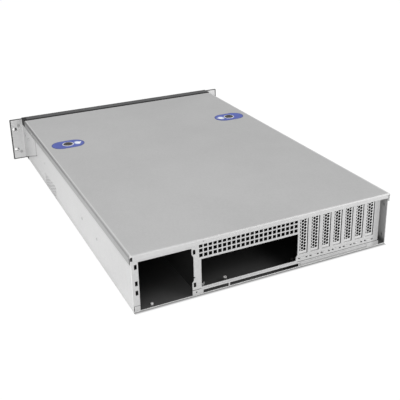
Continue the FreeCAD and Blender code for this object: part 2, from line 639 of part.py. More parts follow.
def make_release_cup():
    """The cup under the shelf that guides the flange and holds the spring."""
    inner = "release_radius + release_rim + cup_gap"
    outer = rod("CupOuter", "release_x", deep("release_depth"), "cup_low", inner + " + cup_wall",
                SHELF_LOW + " - cup_low")
    hollow = rod("CupHollow", "release_x", deep("release_depth"), "cup_low + cup_wall", inner,
                 SHELF_LOW + " - cup_low")
    return cut("release_cup_left", outer, [hollow])


def make_release_spring():
    """A coil between the cup's floor and the button's flange."""
    low = size("cup_low") + size("cup_wall") + size("spring_wire")
    flange_low = size("shelf_top") - size("sheet") - size("button_gap") - size("release_flange")
    height = flange_low - size("spring_end_gap") - low - size("spring_wire")
    radius = size("release_radius") + size("spring_wire") + size("spring_side_gap")
    path = Part.makeHelix(height / size("spring_turns"), height, radius)
    corner = FreeCAD.Vector(size("spring_wire"), 0, 0)
    turn = FreeCAD.Rotation(FreeCAD.Vector(0, 1, 0), 60)
    corners = []
    for _ in range(6):
        corners.append(corner + FreeCAD.Vector(radius, 0, 0))
        corner = turn.multVec(corner)
    ring = Part.makePolygon(corners + corners[:1])
    item = doc.addObject("Part::Feature", "release_spring_left")
    item.Shape = path.makePipeShell([ring], True, True)
    place = FreeCAD.Vector(size("release_x"), rear_plane() - size("release_depth"), low)
    item.Placement = FreeCAD.Placement(place, FreeCAD.Rotation())
    return item


def make_ear():
    """Rack ear: slotted plate folded into a slanted flange along the side wall."""
    item = body("ear_left")
    top = "case_height - shoulder_drop - 2 * ear_clearance"
    inner_top = "%s + frame_shoulder + 2 * ear_clearance" % WALL
    face = "0 - (%s)" % deep("mount_depth - ear_sheet")
    pad(item, outline(item, "EarPlate", "XZ", face, [
        [(WALL, "0"), ("rack_width / 2", "0"), ("rack_width / 2", "ear_height"),
         (inner_top, "ear_height"), (inner_top, top), (WALL, top)]]), "ear_sheet")
    pad(item, outline(item, "EarFlange", "YZ", WALL, [
        [(deep("mount_depth"), "0"), (deep("mount_depth - ear_flange"), "ear_flange_rise"),
         (deep("mount_depth - ear_flange"), top), (deep("mount_depth"), top)]]), "ear_sheet")
    fold_x = case_half() + size("ear_sheet")
    fold_y = rear_plane() - size("mount_depth") + size("ear_sheet")
    round_edges(item, "ear_bend", lambda p, a: abs(a.z) > 20 and near(p.x, fold_x) and near(p.y, fold_y))
    outer_x = size("rack_width") / 2
    round_edges(item, "ear_bend", lambda p, a: abs(a.y) > 1 and near(p.x, outer_x))
    side = "rack_slot_spacing / 2"
    reach = "(rack_slot_length - rack_slot_height) / 2"
    for number, sign in enumerate("-+"):
        middle = "rack_centre %s rack_unit / 2" % sign
        pocket(item, outline(item, "RackSlot%d" % number, "XZ", face, [
            block(("%s - %s" % (side, reach), "%s - rack_slot_height / 2" % middle),
                  ("%s + %s" % (side, reach), "%s + rack_slot_height / 2" % middle))]), "ear_sheet")
        for name, end in (("Inner", "-"), ("Outer", "+")):
            pocket(item, outline(item, "RackEnd%s%d" % (name, number), "XZ", face, [
                ("circle", "%s %s %s" % (side, end, reach), middle, "rack_slot_height / 2")]),
                "ear_sheet")
    handle = [("circle", "rack_width / 2 - handle_inset", "rack_centre %s handle_spacing / 2" % sign,
               "screw_radius + screw_gap") for sign in "-+"]
    pocket(item, outline(item, "HandleHoles", "XZ", face, handle), "ear_sheet")
    fixing = [("circle", deep("ear_screw_depth + %d * ear_screw_gap" % step), "ear_screw_height",
               "screw_radius + screw_gap") for step in range(2)]
    pocket(item, outline(item, "EarHoles", "YZ", WALL, fixing), "ear_sheet")
    return item


def make_handle():
    """A square-section pull handle on the front of the ear."""
    item = body("handle_left")
    front = deep("mount_depth + handle_reach")
    root = deep("mount_depth")
    low = "rack_centre - handle_spacing / 2"
    high = "rack_centre + handle_spacing / 2"
    bar = "handle_bar / 2"
    side = "rack_width / 2 - handle_inset - handle_width / 2"
    pad(item, outline(item, "HandleShape", "YZ", side, [[
        (root, "%s - %s" % (low, bar)), (front, "%s - %s" % (low, bar)),
        (front, "%s + %s" % (high, bar)), (root, "%s + %s" % (high, bar)),
        (root, "%s - %s" % (high, bar)), (front + " + handle_bar", "%s - %s" % (high, bar)),
        (front + " + handle_bar", "%s + %s" % (low, bar)), (root, "%s + %s" % (low, bar))]]),
        "handle_width")
    front_y = rear_plane() - size("mount_depth") - size("handle_reach")
    round_edges(item, "handle_round", lambda p, a: abs(a.x) > 1 and near(p.y, front_y))
    round_edges(item, "handle_edge", lambda p, a: near(p.y, front_y) or abs(a.y) > 15)
    bores = [("circle", "rack_width / 2 - handle_inset", "rack_centre %s handle_spacing / 2" % sign,
              "screw_radius + bore_gap") for sign in "-+"]
    pocket(item, outline(item, "HandleBores", "XZ", "0 - (%s)" % root, bores), "handle_bore")
    return item


def make_frame():
    """The black front frame: shallow box, intake holes, control holes and board posts."""
    item = body("front_frame")
    step = "case_height - shoulder_drop"
    wide = "%s + frame_shoulder" % WALL
    section = [("0 - " + WALL, "0"), (WALL, "0"), (WALL, step), (wide, step), (wide, "case_height"),
               ("0 - (%s)" % wide, "case_height"), ("0 - (%s)" % wide, step), ("0 - " + WALL, step)]
    start = "0 - (%s)" % deep(FRAME_REAR)
    pad(item, outline(item, "FrameOuter", "XZ", start, [section]), "frame_depth")
    front = rear_plane() - size("mount_depth") - size("frame_proud")
    round_edges(item, "frame_wall / 3", lambda p, a: near(p.y, front))
    pocket(item, outline(item, "FrameInner", "XZ", start, [
        block(("0 - %s + frame_wall" % WALL, "frame_wall"),
              (WALL + " - frame_wall", "case_height - frame_wall"))]), "frame_depth - frame_plate")
    posts = []
    bores = []
    for across, height in board_corners():
        posts.append(("circle", across, height, "post_radius"))
        bores.append(("circle", across, height, "screw_radius + bore_gap"))
    plate = "0 - (%s)" % deep(PLATE_BACK + " - post_length")
    pad(item, outline(item, "BoardPosts", "XZ", plate, posts), "post_length")
    pocket(item, outline(item, "PostBores", "XZ", plate, bores), "post_length - 1")
    face = "0 - (%s)" % deep(PLATE_BACK + " - 1")
    column = []
    for row in range(int(size("intake_rows"))):
        middle = "intake_low + %d * intake_pitch" % row
        column.append(block(("intake_left - intake_hole", middle),
                            ("intake_left", middle + " + intake_hole")))
    sketch = outline(item, "Intake", "XZ", face, column)
    holes = pocket(item, sketch, "frame_plate + 2")
    repeat(item, holes, sketch, "H_Axis", "intake_pitch", "intake_columns").Reversed = True
    controls = [("circle", "control_x", "power_height", "power_button + button_gap"),
                ("circle", "control_x", "reset_height", "reset_button + button_gap")]
    controls += [("circle", "control_x", light_place(number), "light_radius + light_gap")
                 for number in range(int(size("light_count")))]
    pocket(item, outline(item, "ControlHoles", "XZ", face, controls), "frame_plate + 2")
    return item


def board_corners():
    """Where the control board is screwed to its posts."""
    return [("control_x %s (board_width / 2 - board_inset)" % side, height) for side in "-+"
            for height in ("board_low + board_inset", "board_low + board_height - board_inset")]


def light_place(number):
    return "light_height + %d * light_pitch" % number


def make_button(name, height, radius):
    """A button stem with a rim behind the front plate."""
    rim_front = PLATE_BACK + " - button_gap"
    stem_back = rim_front + " - button_flange - stem_tail"
    stem_front = FRAME_FRONT + " + button_proud"
    stem = rod(name + "Stem", "control_x", deep(stem_front), height, radius,
               "%s - (%s)" % (stem_front, stem_back), "y")
    rim = rod(name + "Rim", "control_x", deep(rim_front), height, radius + " + button_rim",
              "button_flange", "y")
    return fuse(name, [stem, rim])


def make_control_board():
    """The board behind the buttons."""
    depth = PLATE_BACK + " - post_length"
    plate = box("BoardPlate", "control_x - board_width / 2", deep(depth), "board_low",
                "board_width", "board_sheet", "board_height")
    bores = []
    for across, height in board_corners():
        bores.append(rod("BoardBore%d" % len(bores), across, deep(depth + " + 1"), height,
                         "screw_radius + screw_gap", "board_sheet + 2", "y"))
    return cut("control_board", plate, bores)


def make_board_screws():
    depth = deep(PLATE_BACK + " - post_length - board_sheet")
    screws = []
    for across, height in board_corners():
        screws.append(pan_screw("BoardScrew%d" % len(screws), across, depth, height, "y",
                                "board_sheet + screw_grip"))
    return group("board_screws", screws)


def make_switches():
    """Two small switches on the board, one behind each button."""
    depth = PLATE_BACK + " - post_length + switch_height"
    return group("panel_switches", [
        box("Switch%d" % number, "control_x - switch_side / 2", deep(depth), height + " - switch_side / 2",
            "switch_side", "switch_height", "switch_side")
        for number, height in enumerate(("power_height", "reset_height"))])


def make_light_pipes():
    length = "frame_plate + post_length + light_proud"
    return group("light_pipes", [
        rod("Pipe%d" % number, "control_x", deep(FRAME_FRONT + " + light_proud"),
            light_place(number), "light_radius", length, "y")
        for number in range(int(size("light_count")))])


def make_fan_wall():
    """Folded wall across the case, with fan openings and the shelf for the release cups."""
    depth = "wall_depth"
    left = "0 - " + INNER_WALL
    inner = left + " + sheet"
    span = "2 * (%s - sheet)" % INNER_WALL
    plate = box("WallPlate", inner, deep(depth + " + sheet"), "sheet", span, "sheet",
                SHELF_LOW + " - sheet")
    foot = box("WallFoot", inner, deep(depth + " + sheet"), "sheet", span, "wall_foot", "sheet")
    inside = "2 * (%s - top_lip - 1)" % INNER_WALL
    shelf = box("WallShelf", "0 - %s + top_lip + 1" % INNER_WALL, deep(depth + " + wall_shelf"),
                SHELF_LOW, inside, "wall_shelf", "sheet")
    flanges = [box("WallFlange%d" % number, place, deep(depth + " + wall_flange"), "2 * sheet",
                   "sheet", "wall_flange", "shelf_top - sheet - wall_flange_gap")
               for number, place in enumerate((left, INNER_WALL + " - sheet"))]
    tools = [rod("WallHole%d" % number, fan_place(number), deep(depth + " + sheet + 1"), fan_height(),
                 "fan_bore - 1", "sheet + 2", "y") for number in range(3)]
    tools += [rod("ShelfHole%d" % number, "%srelease_x" % sign, deep("release_depth"),
                  SHELF_LOW + " - 1", "release_radius + button_gap", "sheet + 2")
              for number, sign in enumerate(("", "0 - "))]
    return cut("fan_wall", fuse("WallFold", [plate, foot, shelf] + flanges), tools)


def fan_place(number):
    return "(%d - 1) * fan_spacing" % number


def fan_height():
    return "(sheet + fan_seat + fan_side / 2)"


def make_fan_frame(number):
    """Square fan housing with its bore, motor plate, spokes and corner holes."""
    name = "Fan%d" % number
    back = "wall_depth + sheet"
    front = back + " + fan_depth"
    x = fan_place(number)
    z = fan_height()
    shell = box(name + "Block", x + " - fan_side / 2", deep(front), "sheet + fan_seat",
                "fan_side", "fan_depth", "fan_side")
    tools = [rod(name + "Bore", x, deep(front + " + 1"), z, "fan_bore", "fan_depth + 2", "y")]
    corner = "(fan_side / 2 - fan_screw_inset)"
    for side in "-+":
        for rise in "-+":
            tools.append(rod("%sHole%d" % (name, len(tools)), "%s %s %s" % (x, side, corner),
                             deep(front + " + 1"), "%s %s %s" % (z, rise, corner),
                             "screw_radius + fan_screw_gap", "fan_depth + 2", "y"))
    ring = cut(name + "Ring", shell, tools)
    motor = rod(name + "Motor", x, deep(back + " + motor_plate"), z, "motor_radius", "motor_plate", "y")
    upright = box(name + "SpokeZ", x + " - spoke_width / 2", deep(back + " + motor_plate"),
                  z + " - fan_bore - 0.5", "spoke_width", "motor_plate", "2 * fan_bore + 1")
    level = box(name + "SpokeX", x + " - fan_bore - 0.5", deep(back + " + motor_plate"),
                z + " - spoke_width / 2", "2 * fan_bore + 1", "motor_plate", "spoke_width")
    return fuse("fan_frame_%d" % (number + 1), [ring, motor, upright, level])


def make_rotor(number):
    """Hub with tilted blades, trimmed to a round sweep."""
    name = "Rotor%d" % number
    back = "wall_depth + sheet + motor_plate + hub_gap"
    front = back + " + rotor_depth"
    x = fan_place(number)
    z = fan_height()
    hub = rod(name + "Hub", x, deep(front), z, "hub_radius", "rotor_depth", "y")
    sweep = rod(name + "Sweep", x, deep(front), z, "rotor_radius", "rotor_depth", "y")
    blades = doc.addObject("Part::Feature", name + "Blades")
    count = int(size("blade_count"))
    shapes = []
    for turn in range(count):
        blade = Part.makeBox(size("rotor_radius"), size("rotor_depth") * 1.6, size("blade_sheet"),
                             FreeCAD.Vector(0, -size("rotor_depth") * 0.8, -size("blade_sheet") / 2))
        blade.rotate(FreeCAD.Vector(), FreeCAD.Vector(1, 0, 0), size("blade_angle"))
        blade.rotate(FreeCAD.Vector(), FreeCAD.Vector(0, 1, 0), 360.0 * turn / count)
        shapes.append(blade)
    blades.Shape = Part.makeCompound(shapes)
    middle = (size("wall_depth") + size("sheet") + size("motor_plate") + size("hub_gap")
              + size("rotor_depth") / 2)
    place = FreeCAD.Vector((number - 1) * size("fan_spacing"), rear_plane() - middle,
                           size("sheet") + size("fan_seat") + size("fan_side") / 2)
    blades.Placement = FreeCAD.Placement(place, FreeCAD.Rotation())
    trimmed = doc.addObject("Part::Common", name + "Trim")
    trimmed.Base = blades
    trimmed.Tool = sweep
    return fuse("fan_rotor_%d" % (number + 1), [hub, trimmed])


def make_divider():
    """The plate between the power supply bay and the board."""
    length = "divider_length"
    plate = box("DividerPlate", "divider_x", deep(PANEL_BACK + " + " + length), "sheet",
                "sheet", length, "divider_top - sheet")
    foot = box("DividerFoot", "divider_x - divider_foot", deep(PANEL_BACK + " + " + length), "sheet",
               "divider_foot + sheet", length, "sheet")
    return fuse("psu_divider", [plate, foot])


def make_cage():
    """Drive cage: a vented top sheet on five upright plates."""
    span = "(cage_left - cage_right)"
    depth = "(cage_front - cage_rear)"
    top = box("CageTop", "cage_right", deep("cage_front"), "cage_top - sheet", span, depth, "sheet")
    plates = []
    bays = int(size("cage_bays"))
    for number in range(bays + 1):
        place = "cage_right + %d * (%s - sheet) / cage_bays" % (number, span)
        plates.append(box("CagePlate%d" % number, place, deep("cage_front"), "sheet", "sheet",
                          depth, "cage_top - sheet"))
    vents = []
    for column in range(int(size("cage_vent_columns"))):
        for row in range(int(size("cage_vent_rows"))):
            vents.append(box("CageVent%d_%d" % (column, row),
                             "cage_right + cage_vent_side + %d * cage_vent_pitch" % column,
                             deep("cage_rear + cage_vent_rear + %d * 2 * cage_vent_pitch" % row),
                             "cage_top - sheet - 1", "cage_vent", "2 * cage_vent", "sheet + 2"))
    return cut("drive_cage", fuse("CageFold", [top] + plates), vents)


def make_standoffs():
    """Tapped hexagonal spacers where a board is fixed."""
    places = [("board_left - %s" % across, "board_rear_row + %s" % down)
              for across in ("0", "board_middle", "board_right")
              for down in ("0", "board_middle_row", "board_front_row")]
    places.append(("board_left - board_extra", "board_rear_row"))
    posts = []
    for number, (across, down) in enumerate(places):
        post = doc.addObject("Part::Prism", "Post%d" % number)
        post.Polygon = 6
        tie(post, Circumradius="standoff_radius", Height="standoff_height", Placement_Base_x=across,
            Placement_Base_y=deep(down), Placement_Base_z="sheet")
        bore = rod("PostBore%d" % number, across, deep(down), "sheet + 1", "standoff_bore",
                   "standoff_height")
        posts.append(cut("Standoff%d" % number, post, [bore]))
    return group("board_standoffs", posts)


def make_rivets():
    """Rivets in the side walls, and the two in the recess at the right rear."""
    items = []
    for depth in ("side_rivet_first", "side_rivet_second"):
        for sign in (1, -1):
            start = "%s - sheet" % WALL if sign > 0 else "0 - %s - rivet_head" % WALL
            items.append(rod("Rivet%d" % len(items), start, deep(depth), "side_rivet_height",
                             "rivet_radius", "sheet + rivet_head", "x"))
    for height in ("rivet_low", "rivet_high"):
        items.append(rod("Rivet%d" % len(items), "0 - " + WALL, deep("rivet_depth"), height,
                         "rivet_radius", "sheet + rivet_head", "x"))
    return group("wall_rivets", items)


def make_blank_screws():
    return group("slot_cover_screws", [
        pan_screw("BlankScrew%d" % number, blank_middle(number), deep(blank_screw_depth()),
                  BLANK_TOP, "z", "blank_sheet + blank_rail_sheet")
        for number in range(int(size("slot_count")))])


def make_ear_screws():
    screws = []
    for step in range(2):
        depth = deep("ear_screw_depth + %d * ear_screw_gap" % step)
        screws.append(pan_screw("EarScrewLeft%d" % step, WALL + " + ear_sheet", depth,
                                "ear_screw_height", "x", "ear_sheet + sheet + 1"))
        screws.append(pan_screw("EarScrewRight%d" % step, "0 - %s - ear_sheet" % WALL, depth,
                                "ear_screw_height", "x", "ear_sheet + sheet + 1", -1))
    return group("ear_screws", screws)


def make_cover_screws():
    outer = "(%s - cover_step)" % COVER_HALF
    depth = deep("cover_screw_depth")
    return group("cover_screws", [
        pan_screw("CoverScrewLeft", outer, depth, "cover_screw_height", "x", "screw_grip"),
        pan_screw("CoverScrewRight", "0 - " + outer, depth, "cover_screw_height", "x", "screw_grip", -1)])


def make_handle_screws():
    screws = []
    depth = deep("mount_depth - ear_sheet")
    for side in ("", "0 - "):
        for rise in "-+":
            screws.append(pan_screw("HandleScrew%d" % len(screws),
                                    "%s(rack_width / 2 - handle_inset)" % side, depth,
                                    "rack_centre %s handle_spacing / 2" % rise, "y",
                                    "ear_sheet + screw_grip"))
    return group("handle_screws", screws)


def make_all():
    nodes = [make_base(), make_sill(), make_rear_panel(), make_blank_rail(), make_cover(), make_frame(),
             make_fan_wall(), make_divider(), make_cage(), make_standoffs(), make_control_board(),
             make_switches(), make_light_pipes(), make_blank_screws(), make_ear_screws(),
             make_cover_screws(), make_handle_screws(), make_board_screws(), make_rivets()]
    nodes.append(make_button("power_button", "power_height", "power_button"))
    nodes.append(make_button("reset_button", "reset_height", "reset_button"))
    nodes.append(group("label_marks", [make_mark("MarkLeft", ""), make_mark("MarkRight", "0 - ")]))
    nodes += [make_blank(number) for number in range(int(size("slot_count")))]
    for number in range(3):
        nodes += [make_fan_frame(number), make_rotor(number)]
    pairs = [make_label(), make_ring(), make_release_button(), make_release_cup(),
             make_release_spring(), make_ear(), make_handle()]
    for piece in pairs:
        nodes += [piece, mirror(piece.Name.replace("left", "right"), piece)]
    return nodes


def check_document(nodes):
    for item in doc.Objects:
        if "Invalid" in item.State or "Error" in item.State:
            raise RuntimeError("%s failed: %s" % (item.Name, item.State))
    for node in nodes:
        if node.Shape.isNull() or not node.Shape.isValid():
            raise RuntimeError("%s has no valid shape" % node.Label)


nodes = make_all()
doc.recompute()
check_document(nodes)
os.makedirs("parts", exist_ok=True)
for node in nodes:
    node.Shape.exportStep("parts/%s.step" % node.Label)
    print(node.Label, len(node.Shape.Solids), round(node.Shape.Volume))
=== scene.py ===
import math

import bmesh
import bpy
import numpy as np
from mathutils import Matrix, Vector


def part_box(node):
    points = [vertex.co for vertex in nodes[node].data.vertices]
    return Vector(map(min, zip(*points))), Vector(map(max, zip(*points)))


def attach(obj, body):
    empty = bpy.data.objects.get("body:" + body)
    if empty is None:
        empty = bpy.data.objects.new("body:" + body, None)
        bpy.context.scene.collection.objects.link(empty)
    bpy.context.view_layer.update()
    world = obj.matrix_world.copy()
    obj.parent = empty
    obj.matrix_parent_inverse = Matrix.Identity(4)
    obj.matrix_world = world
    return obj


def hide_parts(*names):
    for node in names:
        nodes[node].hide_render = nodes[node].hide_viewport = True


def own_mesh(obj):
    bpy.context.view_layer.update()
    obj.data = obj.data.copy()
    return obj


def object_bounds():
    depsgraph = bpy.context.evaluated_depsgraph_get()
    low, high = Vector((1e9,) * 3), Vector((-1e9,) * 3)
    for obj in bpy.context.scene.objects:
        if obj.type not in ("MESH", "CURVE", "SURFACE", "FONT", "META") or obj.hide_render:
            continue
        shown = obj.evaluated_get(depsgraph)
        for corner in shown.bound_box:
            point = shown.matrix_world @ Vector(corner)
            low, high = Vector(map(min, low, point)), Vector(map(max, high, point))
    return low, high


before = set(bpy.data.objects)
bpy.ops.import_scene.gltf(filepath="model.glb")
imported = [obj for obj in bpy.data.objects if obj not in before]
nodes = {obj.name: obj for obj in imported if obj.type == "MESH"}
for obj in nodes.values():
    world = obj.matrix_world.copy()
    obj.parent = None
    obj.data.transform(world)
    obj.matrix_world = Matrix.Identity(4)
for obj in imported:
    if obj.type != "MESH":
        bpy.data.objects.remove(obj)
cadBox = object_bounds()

mm = 0.001
print("frame loaded:", len(nodes), "nodes")

# Node building, for materials and for Geometry Nodes


class Wire:  # an output socket that can stand in sums
    def __init__(self, work, socket):
        self.work = work
        self.socket = socket

    def calc(self, operation, first, second=0.0):
        return self.work.node("ShaderNodeMath", {"operation": operation}, {0: first, 1: second})

    def __add__(self, other):
        return self.calc("ADD", self, other)

    def __sub__(self, other):
        return self.calc("SUBTRACT", self, other)

    def __rsub__(self, other):
        return self.calc("SUBTRACT", other, self)

    def __mul__(self, other):
        return self.calc("MULTIPLY", self, other)

    def __truediv__(self, other):
        return self.calc("DIVIDE", self, other)

    def __pow__(self, other):
        return self.calc("POWER", self, other)

    __radd__ = __add__

    def most(self, other):
        return self.calc("MAXIMUM", self, other)

    def above(self, edge):
        return self.calc("GREATER_THAN", self, edge)

    def under(self, edge):
        return self.calc("LESS_THAN", self, edge)

    def size(self):
        return self.calc("ABSOLUTE", self)

    def rest(self, pitch):  # what is left after whole steps of a pitch
        return self.calc("MODULO", self, pitch)

    def step(self, low, high):  # 0 under low, 1 over high, smooth between
        return self.work.node("ShaderNodeMapRange", {"interpolation_type": "SMOOTHSTEP"},
                              {0: self, 1: low, 2: high})

    def part(self, name):  # another output of the same node
        return Wire(self.work, self.socket.node.outputs[name])


class NodeWork:
    def node(self, kind, settings=None, inputs=None, out=0):
        made = self.tree.nodes.new(kind)
        for name, value in (settings or {}).items():
            setattr(made, name, value)
        for name, value in (inputs or {}).items():
            if isinstance(value, Wire):
                self.tree.links.new(value.socket, made.inputs[name])
            else:
                made.inputs[name].default_value = value
        return Wire(self, made.outputs[out]) if made.outputs else made


class Finish(NodeWork):  # a material
    def __init__(self, name):
        self.material = bpy.data.materials.new(name)
        self.material.use_nodes = True
        self.tree = self.material.node_tree
        self.tree.nodes.clear()
        self.place = self.node("ShaderNodeTexCoord", out="Object")

    def stretched(self, scale, turn=(0, 0, 0)):
        return self.node("ShaderNodeMapping", None, {"Vector": self.place, "Scale": scale, "Rotation": turn})

    def noise(self, scale, detail=3.0, rough=0.55, place=None):
        return self.node("ShaderNodeTexNoise", None, {
            "Vector": place or self.place, "Scale": scale, "Detail": detail, "Roughness": rough})

    def cells(self, scale):  # a colour of its own for each cell
        return self.node("ShaderNodeTexVoronoi", None, {"Vector": self.place, "Scale": scale}, "Color")

    def blend(self, share, first, second):
        return self.node("ShaderNodeMix", {"data_type": "RGBA"}, {0: share, 6: first, 7: second}, 2)

    def axis(self, name):
        return self.node("ShaderNodeSeparateXYZ", None, {0: self.place}, name)

    def bump(self, height, strength, distance, normal=None):
        inputs = {"Height": height, "Strength": strength, "Distance": distance}
        if normal:
            inputs["Normal"] = normal
        return self.node("ShaderNodeBump", None, inputs)

    def bevel(self, radius):  # a normal that rounds the edges
        return self.node("ShaderNodeBevel", {"samples": 4}, {"Radius": radius})

    def finish(self, **inputs):
        renamed = {name.replace("_", " "): value for name, value in inputs.items()}
        shader = self.node("ShaderNodeBsdfPrincipled", None, renamed)
        self.node("ShaderNodeOutputMaterial", None, {"Surface": shader})
        return self.material


def middle(box):
    return (box[0] + box[1]) / 2


def grey(value, warmth=0.0):
    return (value * (1 + warmth), value, value * (1 - warmth), 1)


# Materials

noLight = (0, 0, 0, 1)

caseLook = {
    "wall": 212.55 * mm,  # the inner faces of the side walls
    "under": 0.9 * mm,
    "top": 87.1 * mm,
    "rear": 1.35 * mm,  # the rear panel's outer face, in from the rearmost plane
    "sheet": 1.0 * mm,
    "margin": 0.1 * mm,
    "recess": 199.5 * mm,  # where the open recess at the right rear begins
    "recessDepth": 20.5 * mm,
    "recessDark": 0.17,
    "recessFoot": (3 * mm, 12 * mm, 0.7),  # its soft shadows: from, to, how dark
    "recessHead": (80 * mm, 85 * mm, 0.5),
    "wallTone": 0.045,  # how much of its light an unlit inner face keeps
    "floorTone": 0.08,
    "floorTop": 2.5 * mm,
    "mouthTone": 0.2,
    "mouthDepth": 70 * mm,
    "unlit": (-48 * mm, 0.0),  # the floor is darker behind the card windows
    "unlitTone": 0.2,
}

steelLook = {
    "cloudSize": 7.0,  # broad unevenness, cycles a metre
    "rollSize": 90.0,  # rolling lines
    "rollStretch": 24,
    "grainSize": 2600.0,
    "crystalSize": 420,
    "cloudShare": 0.5,  # how much each of the four gives to the tone
    "rollShare": 0.35,
    "grainShare": 0.05,
    "crystalShare": 0.1,
    "tones": (0.3, 0.7),
    "rough": 0.46,
    "roughMean": 0.08,  # the mean of what the next two add
    "roughRoll": 0.1,
    "roughGrain": 0.06,
    "bumpRoll": 0.6,
    "bumpGrain": 0.4,
    "bumpStrength": 0.25,
    "bumpDepth": 0.00004,
    "edge": 0.0006,  # how wide an edge catches light
    "metal": 0.55,
}

rearPlane = cadBox[1][1]


def band(place, low, high, soft=0.15 * mm):  # 1 between two edges
    return place.step(low - soft, low + soft) * (1 - place.step(high - soft, high + soft))


def insideShade(steel, behind=0.0):  # 1 outside, falling on faces inside the case
    look = caseLook
    x, y, z = steel.axis("X"), steel.axis("Y"), steel.axis("Z")
    face = rearPlane - look["rear"] - look["sheet"] - behind + look["margin"]
    recess = x.under(-look["recess"]) * y.above(rearPlane - look["rear"] - look["recessDepth"])
    inside = x.size().under(look["wall"]) * z.above(look["under"]) * z.under(look["top"])
    inside = inside * y.under(face) * (1 - recess)
    mouth = y.step(rearPlane - look["mouthDepth"], rearPlane)
    floor = look["floorTone"] + mouth * (look["mouthTone"] - look["floorTone"])
    floor = floor * (x.step(*look["unlit"]) * (1 - look["unlitTone"]) + look["unlitTone"])
    tone = look["wallTone"] + z.under(look["floorTop"]) * (floor - look["wallTone"])
    recess = recess * y.under(rearPlane - look["rear"] - look["sheet"]) * z.under(look["top"])
    low, high, depth = look["recessFoot"]
    foot = recess * (1 - z.step(low, high)) * depth
    low, high, depth = look["recessHead"]
    head = recess * z.step(low, high) * depth
    return (1 - inside * (1 - tone)) * (1 - foot) * (1 - head) * (1 - recess * look["recessDark"])


# Painted shade lines on the sides, below the lid's top edge, at the flange's lower edge, under that edge on
# the wall and at the wall's foot: from which place across, from and to which height, how dark

sideLines = {
    "lid": [(214.0 * mm, 84.4 * mm, 87.2 * mm, 0.25), (214.0 * mm, 74.0 * mm, 75.6 * mm, 0.15)],
    "body": [(213.2 * mm, 72.4 * mm, 76.0 * mm, 0.16), (213.2 * mm, 68.5 * mm, 76.0 * mm, 0.05),
             (213.2 * mm, -2.0 * mm, 5.0 * mm, 0.05), (213.2 * mm, -2.0 * mm, 12.0 * mm, 0.04)],
}
sideLook = {
    "plane": 213.2 * mm,  # what lies further out is a side
    "lid": 0.33,  # how much darker each is at the front, where its lines are twice as dark
    "body": 0.2,
    "start": 140 * mm,
    "end": 640 * mm,
    "soft": 0.5 * mm,
}
ventLook = {"depths": (407 * mm, 485 * mm), "heights": (2.5 * mm, 27 * mm), "soft": 1.5 * mm, "dark": 0.1}


def sideShade(steel, kind):
    x, y, z = steel.axis("X").size(), steel.axis("Y"), steel.axis("Z")
    side = x.above(sideLook["plane"])
    fall = 1 - y.step(rearPlane - sideLook["end"], rearPlane - sideLook["start"])
    shade = 1 - side * fall * sideLook[kind]
    for edge, low, high, depth in sideLines[kind]:
        line = band(z, low, high, sideLook["soft"]) * x.above(edge)
        shade = (1 - line * (depth + fall * depth)) * shade
    if kind == "body":
        soft = ventLook["soft"]
        vents = band(rearPlane - y, *ventLook["depths"], soft) * band(z, *ventLook["heights"], soft)
        shade = (1 - vents * side * ventLook["dark"]) * shade
    return shade


faceLook = {
    "seam": (8.9 * mm, 9.8 * mm, 0.8),
    "foot": (-1 * mm, 0.8 * mm, 0.5),
    "ribShadow": (2.4 * mm, 4.8 * mm, 0.3),
    "ribTop": (6.5 * mm, 7.2 * mm, 0.3),
    "ribEnds": (53.4 * mm, 177.0 * mm),
    "ribEndHalf": 0.5 * mm,
    "ribEndHeights": (1.8 * mm, 6.8 * mm),
    "ribEndDark": 0.45,
    "loopStart": 49.7 * mm,  # dark eyes at both ends of each loop, from the first loop's left end
    "loopPitch": 20.32 * mm,
    "loopLast": 190 * mm,
    "loopHeights": (13.9 * mm, 15.8 * mm),
    "leftEye": 2.3 * mm,
    "rightEye": (12.9 * mm, 16.8 * mm),
    "eyeDark": 0.93,
    "post": (182 * mm, 195 * mm, 0.28),
    "ledge": (21.2 * mm, 21.7 * mm),  # the card windows' lower edge, darkened as painted shade
    "ledgeIn": 0.05 * mm,
    "ledgeStart": 45 * mm,
    "ledgeDark": 0.75,
    "noSeam": (-112 * mm, 48 * mm),  # no seam shows under the connector opening
    "mesh": ((110.55 * mm, 7.38 * mm, 22), (62.6 * mm, 7.5 * mm, 3)),  # first, pitch, count
    "meshHalf": 2.75 * mm,
    "slots": [(206.8 * mm, 69.6 * mm), (206.8 * mm, 44.2 * mm), (206.8 * mm, 29.6 * mm),
              (120.8 * mm, 70.0 * mm), (120.8 * mm, 17.9 * mm)],
    "slotHalf": (2.0 * mm, 3.6 * mm),
    "rimDark": 0.9,
}


def rowOf(place, first, pitch, count, half):  # 1 within half of each point of a row
    shifted = place - first + pitch / 2
    near = (shifted.rest(pitch) - pitch / 2).size().under(half)
    return near * band(shifted, 0, pitch * count)


def rimShade(steel):  # painted shade: dark rims round the squares and the screw slots
    look = faceLook
    x, z = steel.axis("X"), steel.axis("Z")
    (left, pitch, count), (low, row, rows) = look["mesh"]
    rims = rowOf(0 - x, -left, pitch, count, look["meshHalf"]) * rowOf(z, low, row, rows, look["meshHalf"])
    for across, height in look["slots"]:
        wide, tall = look["slotHalf"]
        rims = rims.most((x - across).size().under(wide) * (z - height).size().under(tall))
    return 1 - rims * look["rimDark"]


